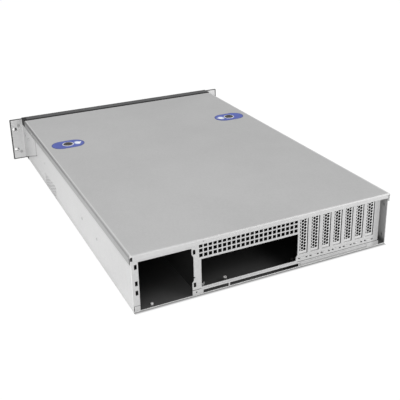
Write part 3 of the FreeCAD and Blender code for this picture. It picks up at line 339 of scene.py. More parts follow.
def faceShade(steel):  # the seam's dark joint, and painted shade at the foot, along the rib and at its ends, in the loops' eyes, over the bent post and on the windows' lower edge, on the rear panel and the sill
    look = faceLook
    x, y, z = steel.axis("X"), steel.axis("Y"), steel.axis("Z")
    right = 0 - x
    shade = 1.0
    for word in ("seam", "foot"):
        low, high, depth = look[word]
        shown = 1 - band(right, *look["noSeam"]) if word == "seam" else 1
        shade = (1 - band(z, low, high) * shown * depth) * shade
    ribs = band(right, *look["ribEnds"])
    for word in ("ribShadow", "ribTop"):
        low, high, depth = look[word]
        shade = (1 - band(z, low, high) * ribs * depth) * shade
    for end in look["ribEnds"]:
        half = look["ribEndHalf"]
        line = band(right - end, -half, half) * band(z, *look["ribEndHeights"])
        shade = (1 - line * look["ribEndDark"]) * shade
    along = (right - look["loopStart"]).rest(look["loopPitch"])
    eyes = along.under(look["leftEye"]) + band(along, *look["rightEye"])
    row = band(z, *look["loopHeights"]) * band(right, look["loopStart"], look["loopLast"])
    shade = (1 - eyes * row * look["eyeDark"]) * shade
    start, end, depth = look["post"]
    shade = (1 - right.step(start, end) * depth) * shade
    ledge = y.under(rearPlane - caseLook["rear"] - look["ledgeIn"]) * band(z, *look["ledge"])
    ledge = ledge * right.above(look["ledgeStart"])
    return (1 - ledge * look["ledgeDark"]) * shade * rimShade(steel)


cornerLook = {  # painted shade in the relief at the left rear corner and the gap below it: across, heights, how dark
    "marks": [((210.8 * mm, 213.4 * mm), (79.5 * mm, 86 * mm), 0.96),
              ((214.3 * mm, 215.5 * mm), (76 * mm, 84.6 * mm), 0.75)],
    "depth": 2.6 * mm,
}


def cornerShade(steel):
    x, y, z = steel.axis("X"), steel.axis("Y"), steel.axis("Z")
    near = y.above(rearPlane - cornerLook["depth"])
    shade = 1.0
    for across, heights, depth in cornerLook["marks"]:
        shade = (1 - band(x, *across) * band(z, *heights) * near * depth) * shade
    return shade


gapLook = {"front": 641 * mm, "rear": 636.2 * mm, "above": 60 * mm, "dark": 0.93}


def gapShade(steel):  # painted shade in the gap between the lid and the black front frame
    y, z = steel.axis("Y"), steel.axis("Z")
    gap = band(y, rearPlane - gapLook["front"], rearPlane - gapLook["rear"]) * z.above(gapLook["above"])
    return 1 - gap * gapLook["dark"]


coverLook = {  # shaded rims make the holes in the slot covers read from afar
    "edge": 208.44 * mm,  # the last window's right edge
    "pitch": 20.32 * mm,
    "columns": (5.05 * mm, 4.4 * mm),
    "rows": (28.1 * mm, 5.02 * mm),
    "reach": (25.9 * mm, 83 * mm),
    "rim": 2.2 * mm,
    "dark": 0.97,
    "shaded": 0.7,
}


def coverShade(steel):
    look = coverLook
    x, z = steel.axis("X"), steel.axis("Z")
    along = (x + look["edge"]).rest(look["pitch"])
    first, step = look["columns"]
    column = along - first + step / 2
    centre = band(column, step, step * 2)
    inRange = band(column, 0, step * 3) * band(z, *look["reach"])
    across = column.rest(step) - step / 2
    low, row = look["rows"]
    place = z - low + row * 1.5 - centre * row / 2
    height = place.rest(row) - row / 2
    rim = (across * across + height * height) ** 0.5
    rim = rim.under(look["rim"]) * (1 - column.above(step * 2) * look["shaded"])
    return 1 - rim * inRange * look["dark"]


def steelTone(steel, light, dark, grain, roughness):
    look = steelLook
    cloud = steel.noise(look["cloudSize"], detail=4, rough=0.6)
    stretch = [1 if axis == grain else look["rollStretch"] for axis in "xyz"]
    rolled = steel.noise(look["rollSize"], detail=5, rough=0.65, place=steel.stretched(stretch))
    grainy = steel.noise(look["grainSize"], detail=2)
    crystals = steel.node("ShaderNodeSeparateColor", None, {0: steel.cells(look["crystalSize"])})
    tone = cloud * look["cloudShare"] + rolled * look["rollShare"]
    tone = tone + crystals * look["crystalShare"] + grainy * look["grainShare"]
    colour = steel.blend(tone.step(*look["tones"]), dark, light)
    rough = roughness - look["roughMean"] + rolled * look["roughRoll"] + grainy * look["roughGrain"]
    relief = rolled * look["bumpRoll"] + grainy * look["bumpGrain"]
    normal = steel.bump(relief, look["bumpStrength"], look["bumpDepth"], steel.bevel(look["edge"]))
    return colour, rough, normal


# A painted highlight along the bend on both sides of the lid

bendLook = {
    "across": (211.2 * mm, 213.4 * mm),
    "soft": 0.5 * mm,
    "above": 87.3 * mm,
    "tone": 0.9,
    "share": 0.35,
}


def zincSteel(name, light, dark, grain, kind, roughness=steelLook["rough"], behind=0.0):
    steel = Finish(name)
    colour, rough, normal = steelTone(steel, light, dark, grain, roughness)
    shade = insideShade(steel, behind) * cornerShade(steel)
    if kind == "face":
        shade = shade * faceShade(steel)
    elif kind == "cover":
        shade = shade * coverShade(steel)
    else:
        shade = shade * sideShade(steel, kind) * gapShade(steel)
    if kind == "lid":
        bend = band(steel.axis("X").size(), *bendLook["across"], bendLook["soft"])
        bend = bend * steel.axis("Z").above(bendLook["above"])
        colour = steel.blend(bend * bendLook["share"], colour, grey(bendLook["tone"]))
    colour = steel.blend(shade, noLight, colour)
    return steel.finish(Base_Color=colour, Metallic=steelLook["metal"], Roughness=rough, Normal=normal)


coatLook = {
    "low": (0.085, 0.085, 0.087, 1),
    "high": (0.127, 0.127, 0.129, 1),
    "tones": (0.35, 0.75),
    "peelSize": 900,
    "dustSize": 26,
    "rear": 645 * mm,  # the frame's rear edge lies in the gap's shadow
    "plate": 661 * mm,
    "cover": 87.6 * mm,
    "corner": 207 * mm,
    "soft": 0.8 * mm,
    # the tone left by the painted shade below
    "underTone": 0.15,
    "rough": 0.42,
    "roughDust": 0.2,
    "bumpStrength": 0.5,
    "bumpDepth": 0.00006,
    "edge": 0.0007,
}


def coatTone(coat):
    look = coatLook
    peel = coat.noise(look["peelSize"], detail=3)
    dust = coat.noise(look["dustSize"], detail=5, rough=0.7)
    colour = coat.blend(dust.step(*look["tones"]), look["low"], look["high"])
    y, z = coat.axis("Y"), coat.axis("Z")
    # painted shade: darker behind the ear plate below the lid's level, along the frame's rear edge and at
    # the outer corner
    rear = rearPlane - look["rear"]
    behind = y.above(rearPlane - look["plate"]) * z.under(look["cover"])
    dim = behind.most(y.step(rear - look["soft"], rear + look["soft"]))
    dim = dim.most(coat.axis("X").above(look["corner"]) * y.above(rearPlane - look["plate"]))
    colour = coat.blend(1 - dim * (1 - look["underTone"]), noLight, colour)
    normal = coat.bump(peel, look["bumpStrength"], look["bumpDepth"], coat.bevel(look["edge"]))
    return colour, look["rough"] + dust * look["roughDust"], normal


def blackPowderCoat(name):
    coat = Finish(name)
    colour, rough, normal = coatTone(coat)
    return coat.finish(Base_Color=colour, Roughness=rough, Normal=normal, Specular_IOR_Level=0.2)


earLook = {
    "flange": 215.45 * mm,
    "plate": 658.05 * mm,
    "rim": 2.2 * mm,  # the black coat turns this far round the outline
    "rimFoot": 0.8,  # and this share of it at the foot and at the head
    "rimHead": 0.7,
    "bend": 4 * mm,
    "slant": 40 / 110,  # the flange's lower edge rises towards the rear
    "coatSize": 40,
    "coatTone": (0.006, 0.006, 0.006, 1),
    "coatShare": 0.8,
}


def earSteel(name, light, dark):  # bare on the back, black on the front and the cut edges
    steel = Finish(name)
    colour, rough, normal = steelTone(steel, light, dark, "z", steelLook["rough"])
    plate = rearPlane - earLook["plate"]
    low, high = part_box("ear_left")
    rim = earLook["rim"]
    x, y, z = steel.axis("X").size(), steel.axis("Y"), steel.axis("Z")
    back = y.above(plate) * x.above(earLook["flange"])
    back = back.most(y.above(plate + earLook["bend"]))
    lower = (y - plate).most(0) * earLook["slant"] + low.z + rim * earLook["rimFoot"]
    bare = back * x.under(high.x - rim) * (z - lower).above(0) * z.under(high.z - rim * earLook["rimHead"])
    black = steel.blend(steel.noise(earLook["coatSize"]), coatLook["low"], coatLook["high"])
    black = steel.blend(earLook["coatShare"], black, earLook["coatTone"])
    return steel.finish(Base_Color=steel.blend(bare, black, colour), Metallic=bare * steelLook["metal"],
                        Roughness=rough, Normal=normal)


def mouldedPlastic(name, dark, light, roughness, scale=1300):
    plastic = Finish(name)
    texture = plastic.noise(scale, detail=2)
    flow = plastic.noise(60, detail=4, rough=0.6)
    colour = plastic.blend(flow, dark, light)
    return plastic.finish(Base_Color=colour, Roughness=roughness + flow * 0.12,
                          Normal=plastic.bump(texture, strength=0.4, distance=0.00003))


labelLook = {
    "half": 11 * mm,
    "border": 18.7 * mm,
    "soft": 0.35 * mm,
    "borderTone": 0.45,
    "wash": (0.25, 0.8),
    # where the painted glare round the mark fades
    "glare": (3.4 * mm, 7.6 * mm),
    "glareIn": 3.6 * mm,
    "glareFlat": 0.5,
    "glareTone": (0.72, 0.8, 0.95, 1),
}


def printedFilm(name, deep, pale, bordered=False):
    film = Finish(name)
    look = labelLook
    fibre = film.noise(1800, detail=2)
    wash = film.noise(34, detail=3)
    colour = film.blend(wash.step(*look["wash"]), deep, pale)
    if bordered:  # a printed darker line inside the label's edge, and a painted pale glare round the mark
        spot = middle(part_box("release_label_left"))
        along = ((film.axis("X").size() - spot.x).size() - look["half"]).most(0)
        across = film.axis("Y") - spot.y
        reach = (along * along + across * across) ** 0.5
        edge = reach.step(look["border"] - look["soft"], look["border"] + look["soft"])
        colour = film.blend(1 - edge * look["borderTone"], noLight, colour)
        out = film.axis("X").size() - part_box("label_marks")[1].x + look["glareIn"]
        reach = (out * out + across * across * look["glareFlat"]) ** 0.5
        colour = film.blend(1 - reach.step(*look["glare"]), colour, look["glareTone"])
    return film.finish(Base_Color=colour, Roughness=0.36 + wash * 0.12, Coat_Weight=0.15,
                       Coat_Roughness=0.3, Normal=film.bump(fibre, strength=0.3, distance=0.00002))


def turnedMetal(name, light, dark, roughness, metal=0.9):
    turned = Finish(name)
    lines = turned.noise(1500, detail=3)
    stain = turned.noise(120, detail=4)
    colour = turned.blend(stain, dark, light)
    return turned.finish(Base_Color=colour, Metallic=metal, Roughness=roughness + lines * 0.12,
                         Normal=turned.bump(lines, strength=0.3, distance=0.00002))


standoffLook = {"top": 6.9 * mm, "sideTone": 0.14, "lit": (10 * mm, 45 * mm), "unlit": 0.05}


def standoffMetal(name, light, dark):  # bright tops, unlit sides and unlit towards the right
    plated = Finish(name)
    stain = plated.noise(260, detail=3)
    lines = plated.noise(1500, detail=3)
    top = plated.axis("Z").above(standoffLook["top"])
    lit = plated.axis("X").step(*standoffLook["lit"]) * (1 - standoffLook["unlit"]) + standoffLook["unlit"]
    tone = (top * (1 - standoffLook["sideTone"]) + standoffLook["sideTone"]) * lit
    colour = plated.blend(tone, noLight, plated.blend(stain, dark, light))
    return plated.finish(Base_Color=colour, Metallic=0.2, Roughness=0.35 + stain * 0.15,
                         Normal=plated.bump(lines, strength=0.3, distance=0.00002))


def circuitBoard(name):
    board = Finish(name)
    tracks = board.node("ShaderNodeTexBrick", {"offset": 0.5}, {
        "Vector": board.stretched((1, 0, 1), turn=(math.pi / 2, 0, 0)), "Scale": 160.0,
        "Color1": (0.012, 0.075, 0.03, 1), "Color2": (0.016, 0.09, 0.036, 1),
        "Mortar": (0.03, 0.15, 0.06, 1), "Mortar Size": 0.012})
    return board.finish(Base_Color=tracks, Roughness=0.35 + board.noise(70) * 0.1,
                        Normal=board.bump(tracks.part("Fac"), strength=0.3, distance=0.00003))


def frostedClear(name):
    clear = Finish(name)
    haze = clear.noise(300, detail=3)
    colour = clear.blend(haze, (0.55, 0.57, 0.6, 1), (0.8, 0.82, 0.85, 1))
    return clear.finish(Base_Color=colour, Roughness=0.2 + haze * 0.15, Transmission_Weight=0.4,
                        Normal=clear.bump(haze, strength=0.2, distance=0.00002))


# The zinc steel parts take different greys: partly the sheets' own tones, partly painted light and shade set
# to how bright each part's faces look under these lamps
finishes = {
    "lid": zincSteel("lidZinc", grey(0.578), grey(0.52), "y", "lid", roughness=0.6),
    "body": zincSteel("bodyZinc", grey(0.83), grey(0.75), "y", "body"),
    "panel": zincSteel("panelZinc", grey(0.57), grey(0.48), "x", "face"),
    "cover": zincSteel("coverZinc", grey(0.65), grey(0.57), "z", "cover", behind=0.15 * mm),
    "ear": earSteel("earZinc", grey(0.67), grey(0.6)),
    "black": blackPowderCoat("blackCoat"),
    "button": mouldedPlastic("blackButton", (0.016, 0.014, 0.012, 1), (0.03, 0.026, 0.022, 1), 0.3),
    "fan": mouldedPlastic("fanPlastic", (0.018, 0.018, 0.019, 1), (0.03, 0.03, 0.031, 1), 0.4, 700),
    "label": printedFilm("labelBlue", (0.05, 0.08, 0.38, 1), (0.085, 0.125, 0.47, 1), True),
    "mark": printedFilm("labelMark", (0.9, 0.92, 0.95, 1), (0.95, 0.96, 0.98, 1)),
    "ring": turnedMetal("ringBright", grey(0.95), grey(0.85), 0.3, 0.5),
    "screw": turnedMetal("screwPlate", grey(0.55), grey(0.42), 0.28),
    "rivet": turnedMetal("rivetPlate", grey(0.62), grey(0.5), 0.32),
    "spring": turnedMetal("springWire", grey(0.5), grey(0.36), 0.25),
    "standoff": standoffMetal("standoffPlate", grey(0.95, 0.02), grey(0.8, 0.02)),
    "handle": turnedMetal("handleAluminium", grey(0.68), grey(0.6), 0.34),
    "board": circuitBoard("boardGreen"),
    "light": frostedClear("lightPipe"),
}
print("finishes made:", len(finishes))

nodeFinishes = {
    "top_cover": "lid", "chassis_base": "body", "rear_panel": "panel", "rear_sill": "panel",
    "slot_rail": "cover", "fan_wall": "body", "psu_divider": "body", "drive_cage": "body",
    "front_frame": "black", "ear_left": "ear", "ear_right": "ear",
    "handle_left": "handle", "handle_right": "handle",
    "control_board": "board", "panel_switches": "button", "light_pipes": "light",
    "board_standoffs": "standoff", "label_marks": "mark", "wall_rivets": "rivet",
}


def nodeFinish(name):
    if name in nodeFinishes:
        return nodeFinishes[name]
    for start, finish in (("slot_cover_screws", "screw"), ("slot_cover", "cover"), ("fan_", "fan"),
                          ("release_label", "label"), ("release_ring", "ring"), ("release_spring", "spring"),
                          ("release_", "button"), ("power_", "button"), ("reset_", "button")):
        if name.startswith(start):
            return finish
    return "screw"


for name, item in nodes.items():
    item.data.materials.clear()
    item.data.materials.append(finishes[nodeFinish(name)])
    for face in item.data.polygons:
        face.material_index = 0


# Mesh helpers

weld = 0.001 * mm  # corners nearer than this are joined


def newObject(name, mesh, finish):
    item = bpy.data.objects.new(name, mesh)
    bpy.context.scene.collection.objects.link(item)
    mesh.materials.clear()
    mesh.materials.append(finishes[finish])
    return item


def meshOf(work, name):
    bmesh.ops.recalc_face_normals(work, faces=work.faces)
    mesh = bpy.data.meshes.new(name)
    work.to_mesh(mesh)
    work.free()
    return mesh


def smooth(item, degrees=32):
    for face in item.data.polygons:
        face.use_smooth = True
    item.data.set_sharp_from_angle(angle=math.radians(degrees))


def put(item, body, slot, *replaced):
    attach(item, body)
    if replaced:
        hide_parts(*replaced)


def lathe(name, profile, finish, centre, axis="z", steps=48):
    work = bmesh.new()
    corners = [work.verts.new((radius, 0, height)) for radius, height in profile]
    edges = [work.edges.new(pair) for pair in zip(corners, corners[1:])]
    bmesh.ops.spin(work, geom=corners + edges, axis=(0, 0, 1), cent=(0, 0, 0),
                   steps=steps, angle=2 * math.pi)
    bmesh.ops.remove_doubles(work, verts=work.verts, dist=weld)
    turn = Matrix.Rotation(math.pi / 2, 4, "X") if axis == "y" else Matrix()
    bmesh.ops.transform(work, verts=work.verts, matrix=Matrix.Translation(centre) @ turn)
    item = newObject(name, meshOf(work, name), finish)
    smooth(item)
    return item


def islands(name):  # the corners of each separate solid of a node, in order of place
    work = bmesh.new()
    work.from_mesh(nodes[name].data)
    bmesh.ops.remove_doubles(work, verts=work.verts, dist=weld)
    left = set(work.verts)
    found = []
    while left:
        stack = [left.pop()]
        island = []
        while stack:
            corner = stack.pop()
            island.append(corner.co.copy())
            for edge in corner.link_edges:
                other = edge.other_vert(corner)
                if other in left:
                    left.remove(other)
                    stack.append(other)
        found.append(np.array(island))
    work.free()
    return sorted(found, key=lambda corners: tuple(np.round(corners.min(0), 5)))


# Screws: a cross-recessed head and a shank, set on points read from the frame

screwLook = {
    "rings": [(1, 0), (1, 0.35), (0.96, 0.72)],  # the head's side: shares of its radius and height
    "dome": 0.86,  # where the side turns into the top
    "domeHeight": 0.97,
    "domeEdge": 0.06,
    "crossReach": 0.5,
    "crossWidth": 0.17,
    "crossDepth": 0.75,
    "crossTaper": 0.8,
    "sides": 40,
    "shank": 0.53,
    "firstTurn": 0.5,  # how far round the first head is turned, and each next one further
    "nextTurn": 1.7,
    "rim": 0.95,  # corners of the frame's screw further out than this belong to its head
}


def screwHead():  # radius 1 and height 1, seated at z = 0
    work = bmesh.new()
    look = screwLook
    reach, half = look["crossReach"], look["crossWidth"] / 2
    rings = []
    crown = [(look["dome"], look["domeHeight"]), (look["dome"] - look["domeEdge"], 1)]
    for radius, height in look["rings"] + crown:
        turns = [2 * math.pi * number / look["sides"] for number in range(look["sides"])]
        rings.append([work.verts.new((radius * math.cos(t), radius * math.sin(t), height)) for t in turns])
    for lower, upper in zip(rings, rings[1:]):
        for number in range(look["sides"]):
            after = (number + 1) % look["sides"]
            work.faces.new((lower[number], lower[after], upper[after], upper[number]))
    arm = [(reach, -half), (reach, half), (half, half)]
    cross = []
    for turn in range(4):
        spin = Matrix.Rotation(turn * math.pi / 2, 2)
        cross += [spin @ Vector(point) for point in arm]
    top = [work.verts.new((x, y, 1)) for x, y in cross]
    taper = look["crossTaper"]
    floor = [work.verts.new((x * taper, y * taper, 1 - look["crossDepth"])) for x, y in cross]
    count = len(cross)
    rim = [work.edges.get((rings[-1][number], rings[-1][(number + 1) % look["sides"]]))
           for number in range(look["sides"])]
    slot = [work.edges.new((top[number], top[(number + 1) % count])) for number in range(count)]
    bmesh.ops.triangle_fill(work, use_beauty=True, use_dissolve=False, edges=rim + slot)
    for number in range(count):
        after = (number + 1) % count
        work.faces.new((top[number], top[after], floor[after], floor[number]))
    work.faces.new(floor)
    work.faces.new(list(reversed(rings[0])))
    item = newObject("screwHeadShape", meshOf(work, "screwHeadShape"), "screw")
    smooth(item, degrees=30)
    return item


class GeometryWork(NodeWork):  # a Geometry Nodes tree with named inputs
    def __init__(self, name, inputs):
        self.tree = bpy.data.node_groups.new(name, "GeometryNodeTree")
        face = self.tree.interface
        face.new_socket("Geometry", in_out="INPUT", socket_type="NodeSocketGeometry")
        self.keys = {}
        for word, (kind, value) in inputs.items():
            socket = face.new_socket(word, in_out="INPUT", socket_type="NodeSocket" + kind)
            if value is not None:
                socket.default_value = value
            self.keys[word] = socket.identifier
        face.new_socket("Geometry", in_out="OUTPUT", socket_type="NodeSocketGeometry")
        self.source = self.node("NodeGroupInput")

    def given(self, word):
        return self.source.part(word)

    def close(self, geometry, finish):
        real = self.node("GeometryNodeRealizeInstances", None, {0: geometry})
        coated = self.node("GeometryNodeSetMaterial", None, {"Geometry": real})
        coated.socket.node.inputs["Material"].default_value = finishes[finish]
        self.node("NodeGroupOutput", None, {0: coated})

    def bake(self, name, mesh, finish, values):
        holder = newObject(name + "Holder", mesh, finish)
        modifier = holder.modifiers.new("Make", "NODES")
        modifier.node_group = self.tree
        for word, value in values.items():
            modifier[self.keys[word]] = value
        graph = bpy.context.evaluated_depsgraph_get()
        result = bpy.data.meshes.new_from_object(holder.evaluated_get(graph))
        bpy.data.objects.remove(holder)
        return newObject(name, result, finish)


def pointMesh(name, points, aims, angles=None):
    mesh = bpy.data.meshes.new(name)
    mesh.from_pydata([tuple(p) for p in points], [], [])
    data = mesh.attributes.new("aim", "FLOAT_VECTOR", "POINT").data
    data.foreach_set("vector", np.array(aims, np.float32).ravel())
    if angles is not None:
        data = mesh.attributes.new("spin", "FLOAT", "POINT").data
        data.foreach_set("value", np.array(angles, np.float32))
    return mesh


def screwTree():
    tree = GeometryWork("screwsOnPoints", {
        "Head": ("Object", None), "Head Radius": ("Float", 0.003), "Head Height": ("Float", 0.0012),
        "Shank Radius": ("Float", 0.0016), "Shank Length": ("Float", 0.004)})
    head = tree.node("GeometryNodeObjectInfo", None, {"Object": tree.given("Head")}, "Geometry")
    size = tree.node("ShaderNodeCombineXYZ", None, {
        0: tree.given("Head Radius"), 1: tree.given("Head Radius"), 2: tree.given("Head Height")})
    sized = tree.node("GeometryNodeTransform", None, {"Geometry": head, "Scale": size})
    length = tree.given("Shank Length")
    shank = tree.node("GeometryNodeMeshCylinder", None, {
        "Vertices": 20, "Radius": tree.given("Shank Radius"), "Depth": length})
    down = tree.node("ShaderNodeCombineXYZ", None, {2: length * -0.5})
    lowered = tree.node("GeometryNodeTransform", None, {"Geometry": shank, "Translation": down})
    whole = tree.node("GeometryNodeJoinGeometry", None, {0: sized})
    tree.tree.links.new(lowered.socket, whole.socket.node.inputs[0])
    aim = tree.node("GeometryNodeInputNamedAttribute", {"data_type": "FLOAT_VECTOR"}, {"Name": "aim"})
    spin = tree.node("GeometryNodeInputNamedAttribute", {"data_type": "FLOAT"}, {"Name": "spin"})
    facing = tree.node("FunctionNodeAlignRotationToVector", {"axis": "Z"}, {"Vector": aim})
    around = tree.node("ShaderNodeCombineXYZ", None, {2: spin})
    turned = tree.node("FunctionNodeRotateRotation", {"rotation_space": "LOCAL"}, {0: facing, 1: around})
    placed = tree.node("GeometryNodeInstanceOnPoints", None, {
        "Points": tree.given("Geometry"), "Instance": whole, "Rotation": turned})
    tree.close(placed, "screw")
    return tree


def readScrew(corners, axis):  # seat, aim and sizes of one screw of the frame
    low, high = corners.min(0), corners.max(0)
    centre = (low + high) / 2
    sides = [number for number in range(3) if number != axis]
    reach = np.hypot(*(corners[:, sides] - centre[sides]).T)
    radius = reach.max()
    wide = corners[reach > radius * screwLook["rim"]][:, axis]
    facing = 1 if wide.mean() > centre[axis] else -1
    height = wide.max() - wide.min()
    seat = centre.copy()
    seat[axis] = wide.min() if facing > 0 else wide.max()
    aim = np.zeros(3)
    aim[axis] = facing
    return seat, aim, radius, height, (high - low)[axis] - height


screws = screwTree()
headShape = screwHead()
for node, axis, body in (("cover_screws", 0, "lid"), ("ear_screws", 0, "case"), ("handle_screws", 1, "case"),
                         ("slot_cover_screws", 2, "case"), ("board_screws", 1, "case")):
    found = [readScrew(corners, axis) for corners in islands(node)]
    seats, aims, radii, heights, lengths = zip(*found)
    turns = [screwLook["firstTurn"] + screwLook["nextTurn"] * number for number in range(len(found))]
    piece = screws.bake(node + "_made", pointMesh(node, seats, aims, turns), "screw", {
        "Head": headShape, "Head Radius": float(radii[0]), "Head Height": float(heights[0]),
        "Shank Radius": float(radii[0]) * screwLook["shank"], "Shank Length": float(lengths[0])})
    smooth(piece, degrees=30)
    put(piece, body, "screw_steel", node)
bpy.data.objects.remove(headShape)
print("screws set")

# Rivets: domed heads on the side walls

rivetLook = {"height": 0.5 * mm, "rings": 10, "sides": 28}


def rivetTree():
    tree = GeometryWork("rivetsOnPoints", {"Radius": ("Float", 0.0023), "Height": ("Float", 0.0005)})
    ball = tree.node("GeometryNodeMeshUVSphere", None, {
        "Segments": rivetLook["sides"], "Rings": rivetLook["rings"], "Radius": 1.0})
    size = tree.node("ShaderNodeCombineXYZ", None, {
        0: tree.given("Radius"), 1: tree.given("Radius"), 2: tree.given("Height")})
    flat = tree.node("GeometryNodeTransform", None, {"Geometry": ball, "Scale": size})
    aim = tree.node("GeometryNodeInputNamedAttribute", {"data_type": "FLOAT_VECTOR"}, {"Name": "aim"})
    facing = tree.node("FunctionNodeAlignRotationToVector", {"axis": "Z"}, {"Vector": aim})
    placed = tree.node("GeometryNodeInstanceOnPoints", None, {
        "Points": tree.given("Geometry"), "Instance": flat, "Rotation": facing})
    tree.close(placed, "rivet")
    return tree


def makeRivets():
    seats = []
    aims = []
    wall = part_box("chassis_base")[1].x
    for corners in islands("wall_rivets"):
        low, high = corners.min(0), corners.max(0)
        side = 1 if low[0] + high[0] > 0 else -1
        centre = (low + high) / 2
        centre[0] = side * wall
        seats.append(centre)
        aims.append((side, 0, 0))
    radius = (high[2] - low[2]) / 2
    piece = rivetTree().bake("wall_rivets_made", pointMesh("rivets", seats, aims), "rivet", {
        "Radius": float(radius), "Height": rivetLook["height"]})
    smooth(piece)
    put(piece, "case", "rivet_steel")


makeRivets()
print("rivets set")

# Studs on the floor just inside the rear, in millimetres: across, from the rear, radius, height

studLook = {
    "places": [(183.5, 9.0, 2.0, 2.2), (100.5, 20.0, 1.2, 3.2), (96.5, 24.0, 1.2, 2.6)],
    "floor": 1.0,
    "edge": 0.4,
}


def makeStud(number, across, depth, radius, height):
    edge = studLook["edge"]
    profile = [(0, height), (radius - edge, height), (radius, height - edge), (radius, 0)]
    centre = Vector((across * mm, rearPlane - depth * mm, studLook["floor"] * mm))
    profile = [(r * mm, z * mm) for r, z in profile]
    stud = lathe("floor_stud_%d" % number, profile, "ring", centre, steps=24)
    put(stud, "case", "rivet_steel")


for number, values in enumerate(studLook["places"], 1):
    makeStud(number, *values)
print("studs set")

# Fans: a domed hub with swept blades repeated round it

fanLook = {
    "blades": 7,
    "sweep": 0.55,  # how far a blade leans round as it leaves the hub
    "pitchRoot": 50.0,
    "pitchTip": 28.0,
    "thick": 1.5 * mm,
    "root": 0.96,  # a blade begins just under the hub's surface
    "tip": 0.985,
    "fill": 0.92,  # how much of the depth and of the round a blade may take
    "halfDepth": 0.47,
    "camber": 0.1,
    "hubShare": 0.465,
    "hubFront": [(0.8, 0), (0.95, 0.8 * mm), (1, 2.2 * mm)],  # share of the radius, depth
    "hubRear": 0.9,
}


def bladeShape(radius, depth):
    work = bmesh.new()
    look = fanLook
    across, along = 10, 8
    root = look["hubShare"] * look["root"]
    most = depth * look["halfDepth"]
    grid = []
    for step in range(across + 1):
        share = step / across
        reach = radius * (root + share * (look["tip"] - root))
        pitch = math.radians(look["pitchRoot"] + share * (look["pitchTip"] - look["pitchRoot"]))
        width = depth * look["fill"] / math.sin(pitch)
        width = min(width, 2 * math.pi * reach / look["blades"] * look["fill"])
        row = []
        for part in range(along + 1):
            chord = (part / along - 0.5) * width
            camber = look["camber"] * width * (1 - (2 * part / along - 1) ** 2)
            turn = (chord * math.cos(pitch) - camber * math.sin(pitch)) / reach + look["sweep"] * share
            height = chord * math.sin(pitch) + camber * math.cos(pitch)
            height = max(-most, min(most, height))
            row.append(work.verts.new((reach * math.cos(turn), height, reach * math.sin(turn))))
        grid.append(row)
    for near, far in zip(grid, grid[1:]):
        for number in range(along):
            work.faces.new((near[number], near[number + 1], far[number + 1], far[number]))
    item = newObject("bladeShape", meshOf(work, "bladeShape"), "fan")
    wall = item.modifiers.new("Thick", "SOLIDIFY")
    wall.thickness = look["thick"]
    wall.offset = 0
    return item


def rotorTree():
    tree = GeometryWork("bladesRoundHub", {"Blade": ("Object", None), "Blades": ("Int", 7)})
    blade = tree.node("GeometryNodeObjectInfo", None, {"Object": tree.given("Blade")}, "Geometry")
    count = tree.given("Blades")
    points = tree.node("GeometryNodeMeshLine", None, {"Count": count, "Offset": (0, 0, 0)})
    number = tree.node("GeometryNodeInputIndex")
    turn = tree.node("ShaderNodeCombineXYZ", None, {1: number * (2 * math.pi) / count})
    placed = tree.node("GeometryNodeInstanceOnPoints", None, {
        "Points": points, "Instance": blade, "Rotation": turn})
    whole = tree.node("GeometryNodeJoinGeometry", None, {0: placed})
    tree.tree.links.new(tree.given("Geometry").socket, whole.socket.node.inputs[0])
    tree.close(whole, "fan")
    return tree


def makeRotors():
    low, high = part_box("fan_rotor_1")
    radius = (high.x - low.x) / 2
    depth = high.y - low.y
    blade = bladeShape(radius, depth)
    tree = rotorTree()
    hub = radius * fanLook["hubShare"]
    profile = [(0, -depth / 2)]
    profile += [(hub * share, -depth / 2 + rise) for share, rise in fanLook["hubFront"]]
    profile += [(hub, depth / 2), (hub * fanLook["hubRear"], depth / 2), (0, depth / 2)]
    for number in (1, 2, 3):
        node = "fan_rotor_%d" % number
        shape = lathe("hubShape", [(r, -z) for r, z in profile], "fan", Vector(), "y")
        piece = tree.bake(node + "_made", shape.data, "fan", {
            "Blade": blade, "Blades": fanLook["blades"]})
        bpy.data.objects.remove(shape)
        piece.data.transform(Matrix.Translation(middle(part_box(node))))
        smooth(piece, degrees=40)
        put(piece, "rotor_%d" % number, "fan_plastic", node)
    bpy.data.objects.remove(blade)


makeRotors()
print("fans made")

# Release buttons, their bright rings and springs

buttonLook = {
    "dish": 0.8 * mm,
    "edge": 0.7 * mm,
    "flange": 1.5 * mm,
    "flangeFoot": 4 * mm,
    "flangeThick": 1.6 * mm,
    "ring": 2.1 * mm,
    "ringEdge": 0.3 * mm,
    "wire": 0.45 * mm,
    "turns": 5.0,
}


def makeRelease(side):
    node = "release_button_" + side
    low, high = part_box(node)
    place = middle((low, high))
    ringLow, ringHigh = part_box("release_ring_" + side)
    flange = (high.x - low.x) / 2
    stem = flange - buttonLook["flange"]
    edge, dish = buttonLook["edge"], buttonLook["dish"]
    rimFoot = low.z + buttonLook["flangeFoot"]
    rimTop = rimFoot + buttonLook["flangeThick"]
    profile = [(0, low.z), (stem, low.z), (stem, rimFoot), (flange, rimFoot), (flange, rimTop),
               (stem, rimTop), (stem, high.z - edge), (stem - edge * 0.3, high.z - edge * 0.3),
               (stem - edge, high.z), (stem - 2 * edge, high.z - dish * 0.25),
               (stem * 0.5, high.z - dish * 0.8), (0, high.z - dish)]
    centre = Vector((place.x, place.y, 0))
    button = lathe(node + "_made", profile, "button", centre)
    put(button, "release_" + side, "black_plastic", node)
    outer = (ringHigh.x - ringLow.x) / 2
    inner = outer - buttonLook["ring"]
    base, top, edge = ringLow.z, ringHigh.z, buttonLook["ringEdge"]
    ringProfile = [(inner, base), (outer, base), (outer, top - edge), (outer - edge, top),
                   (inner + edge, top), (inner, top - edge), (inner, base)]
    ring = lathe("release_ring_%s_made" % side, ringProfile, "ring", centre, steps=64)
    put(ring, "lid", "bright_ring", "release_ring_" + side)


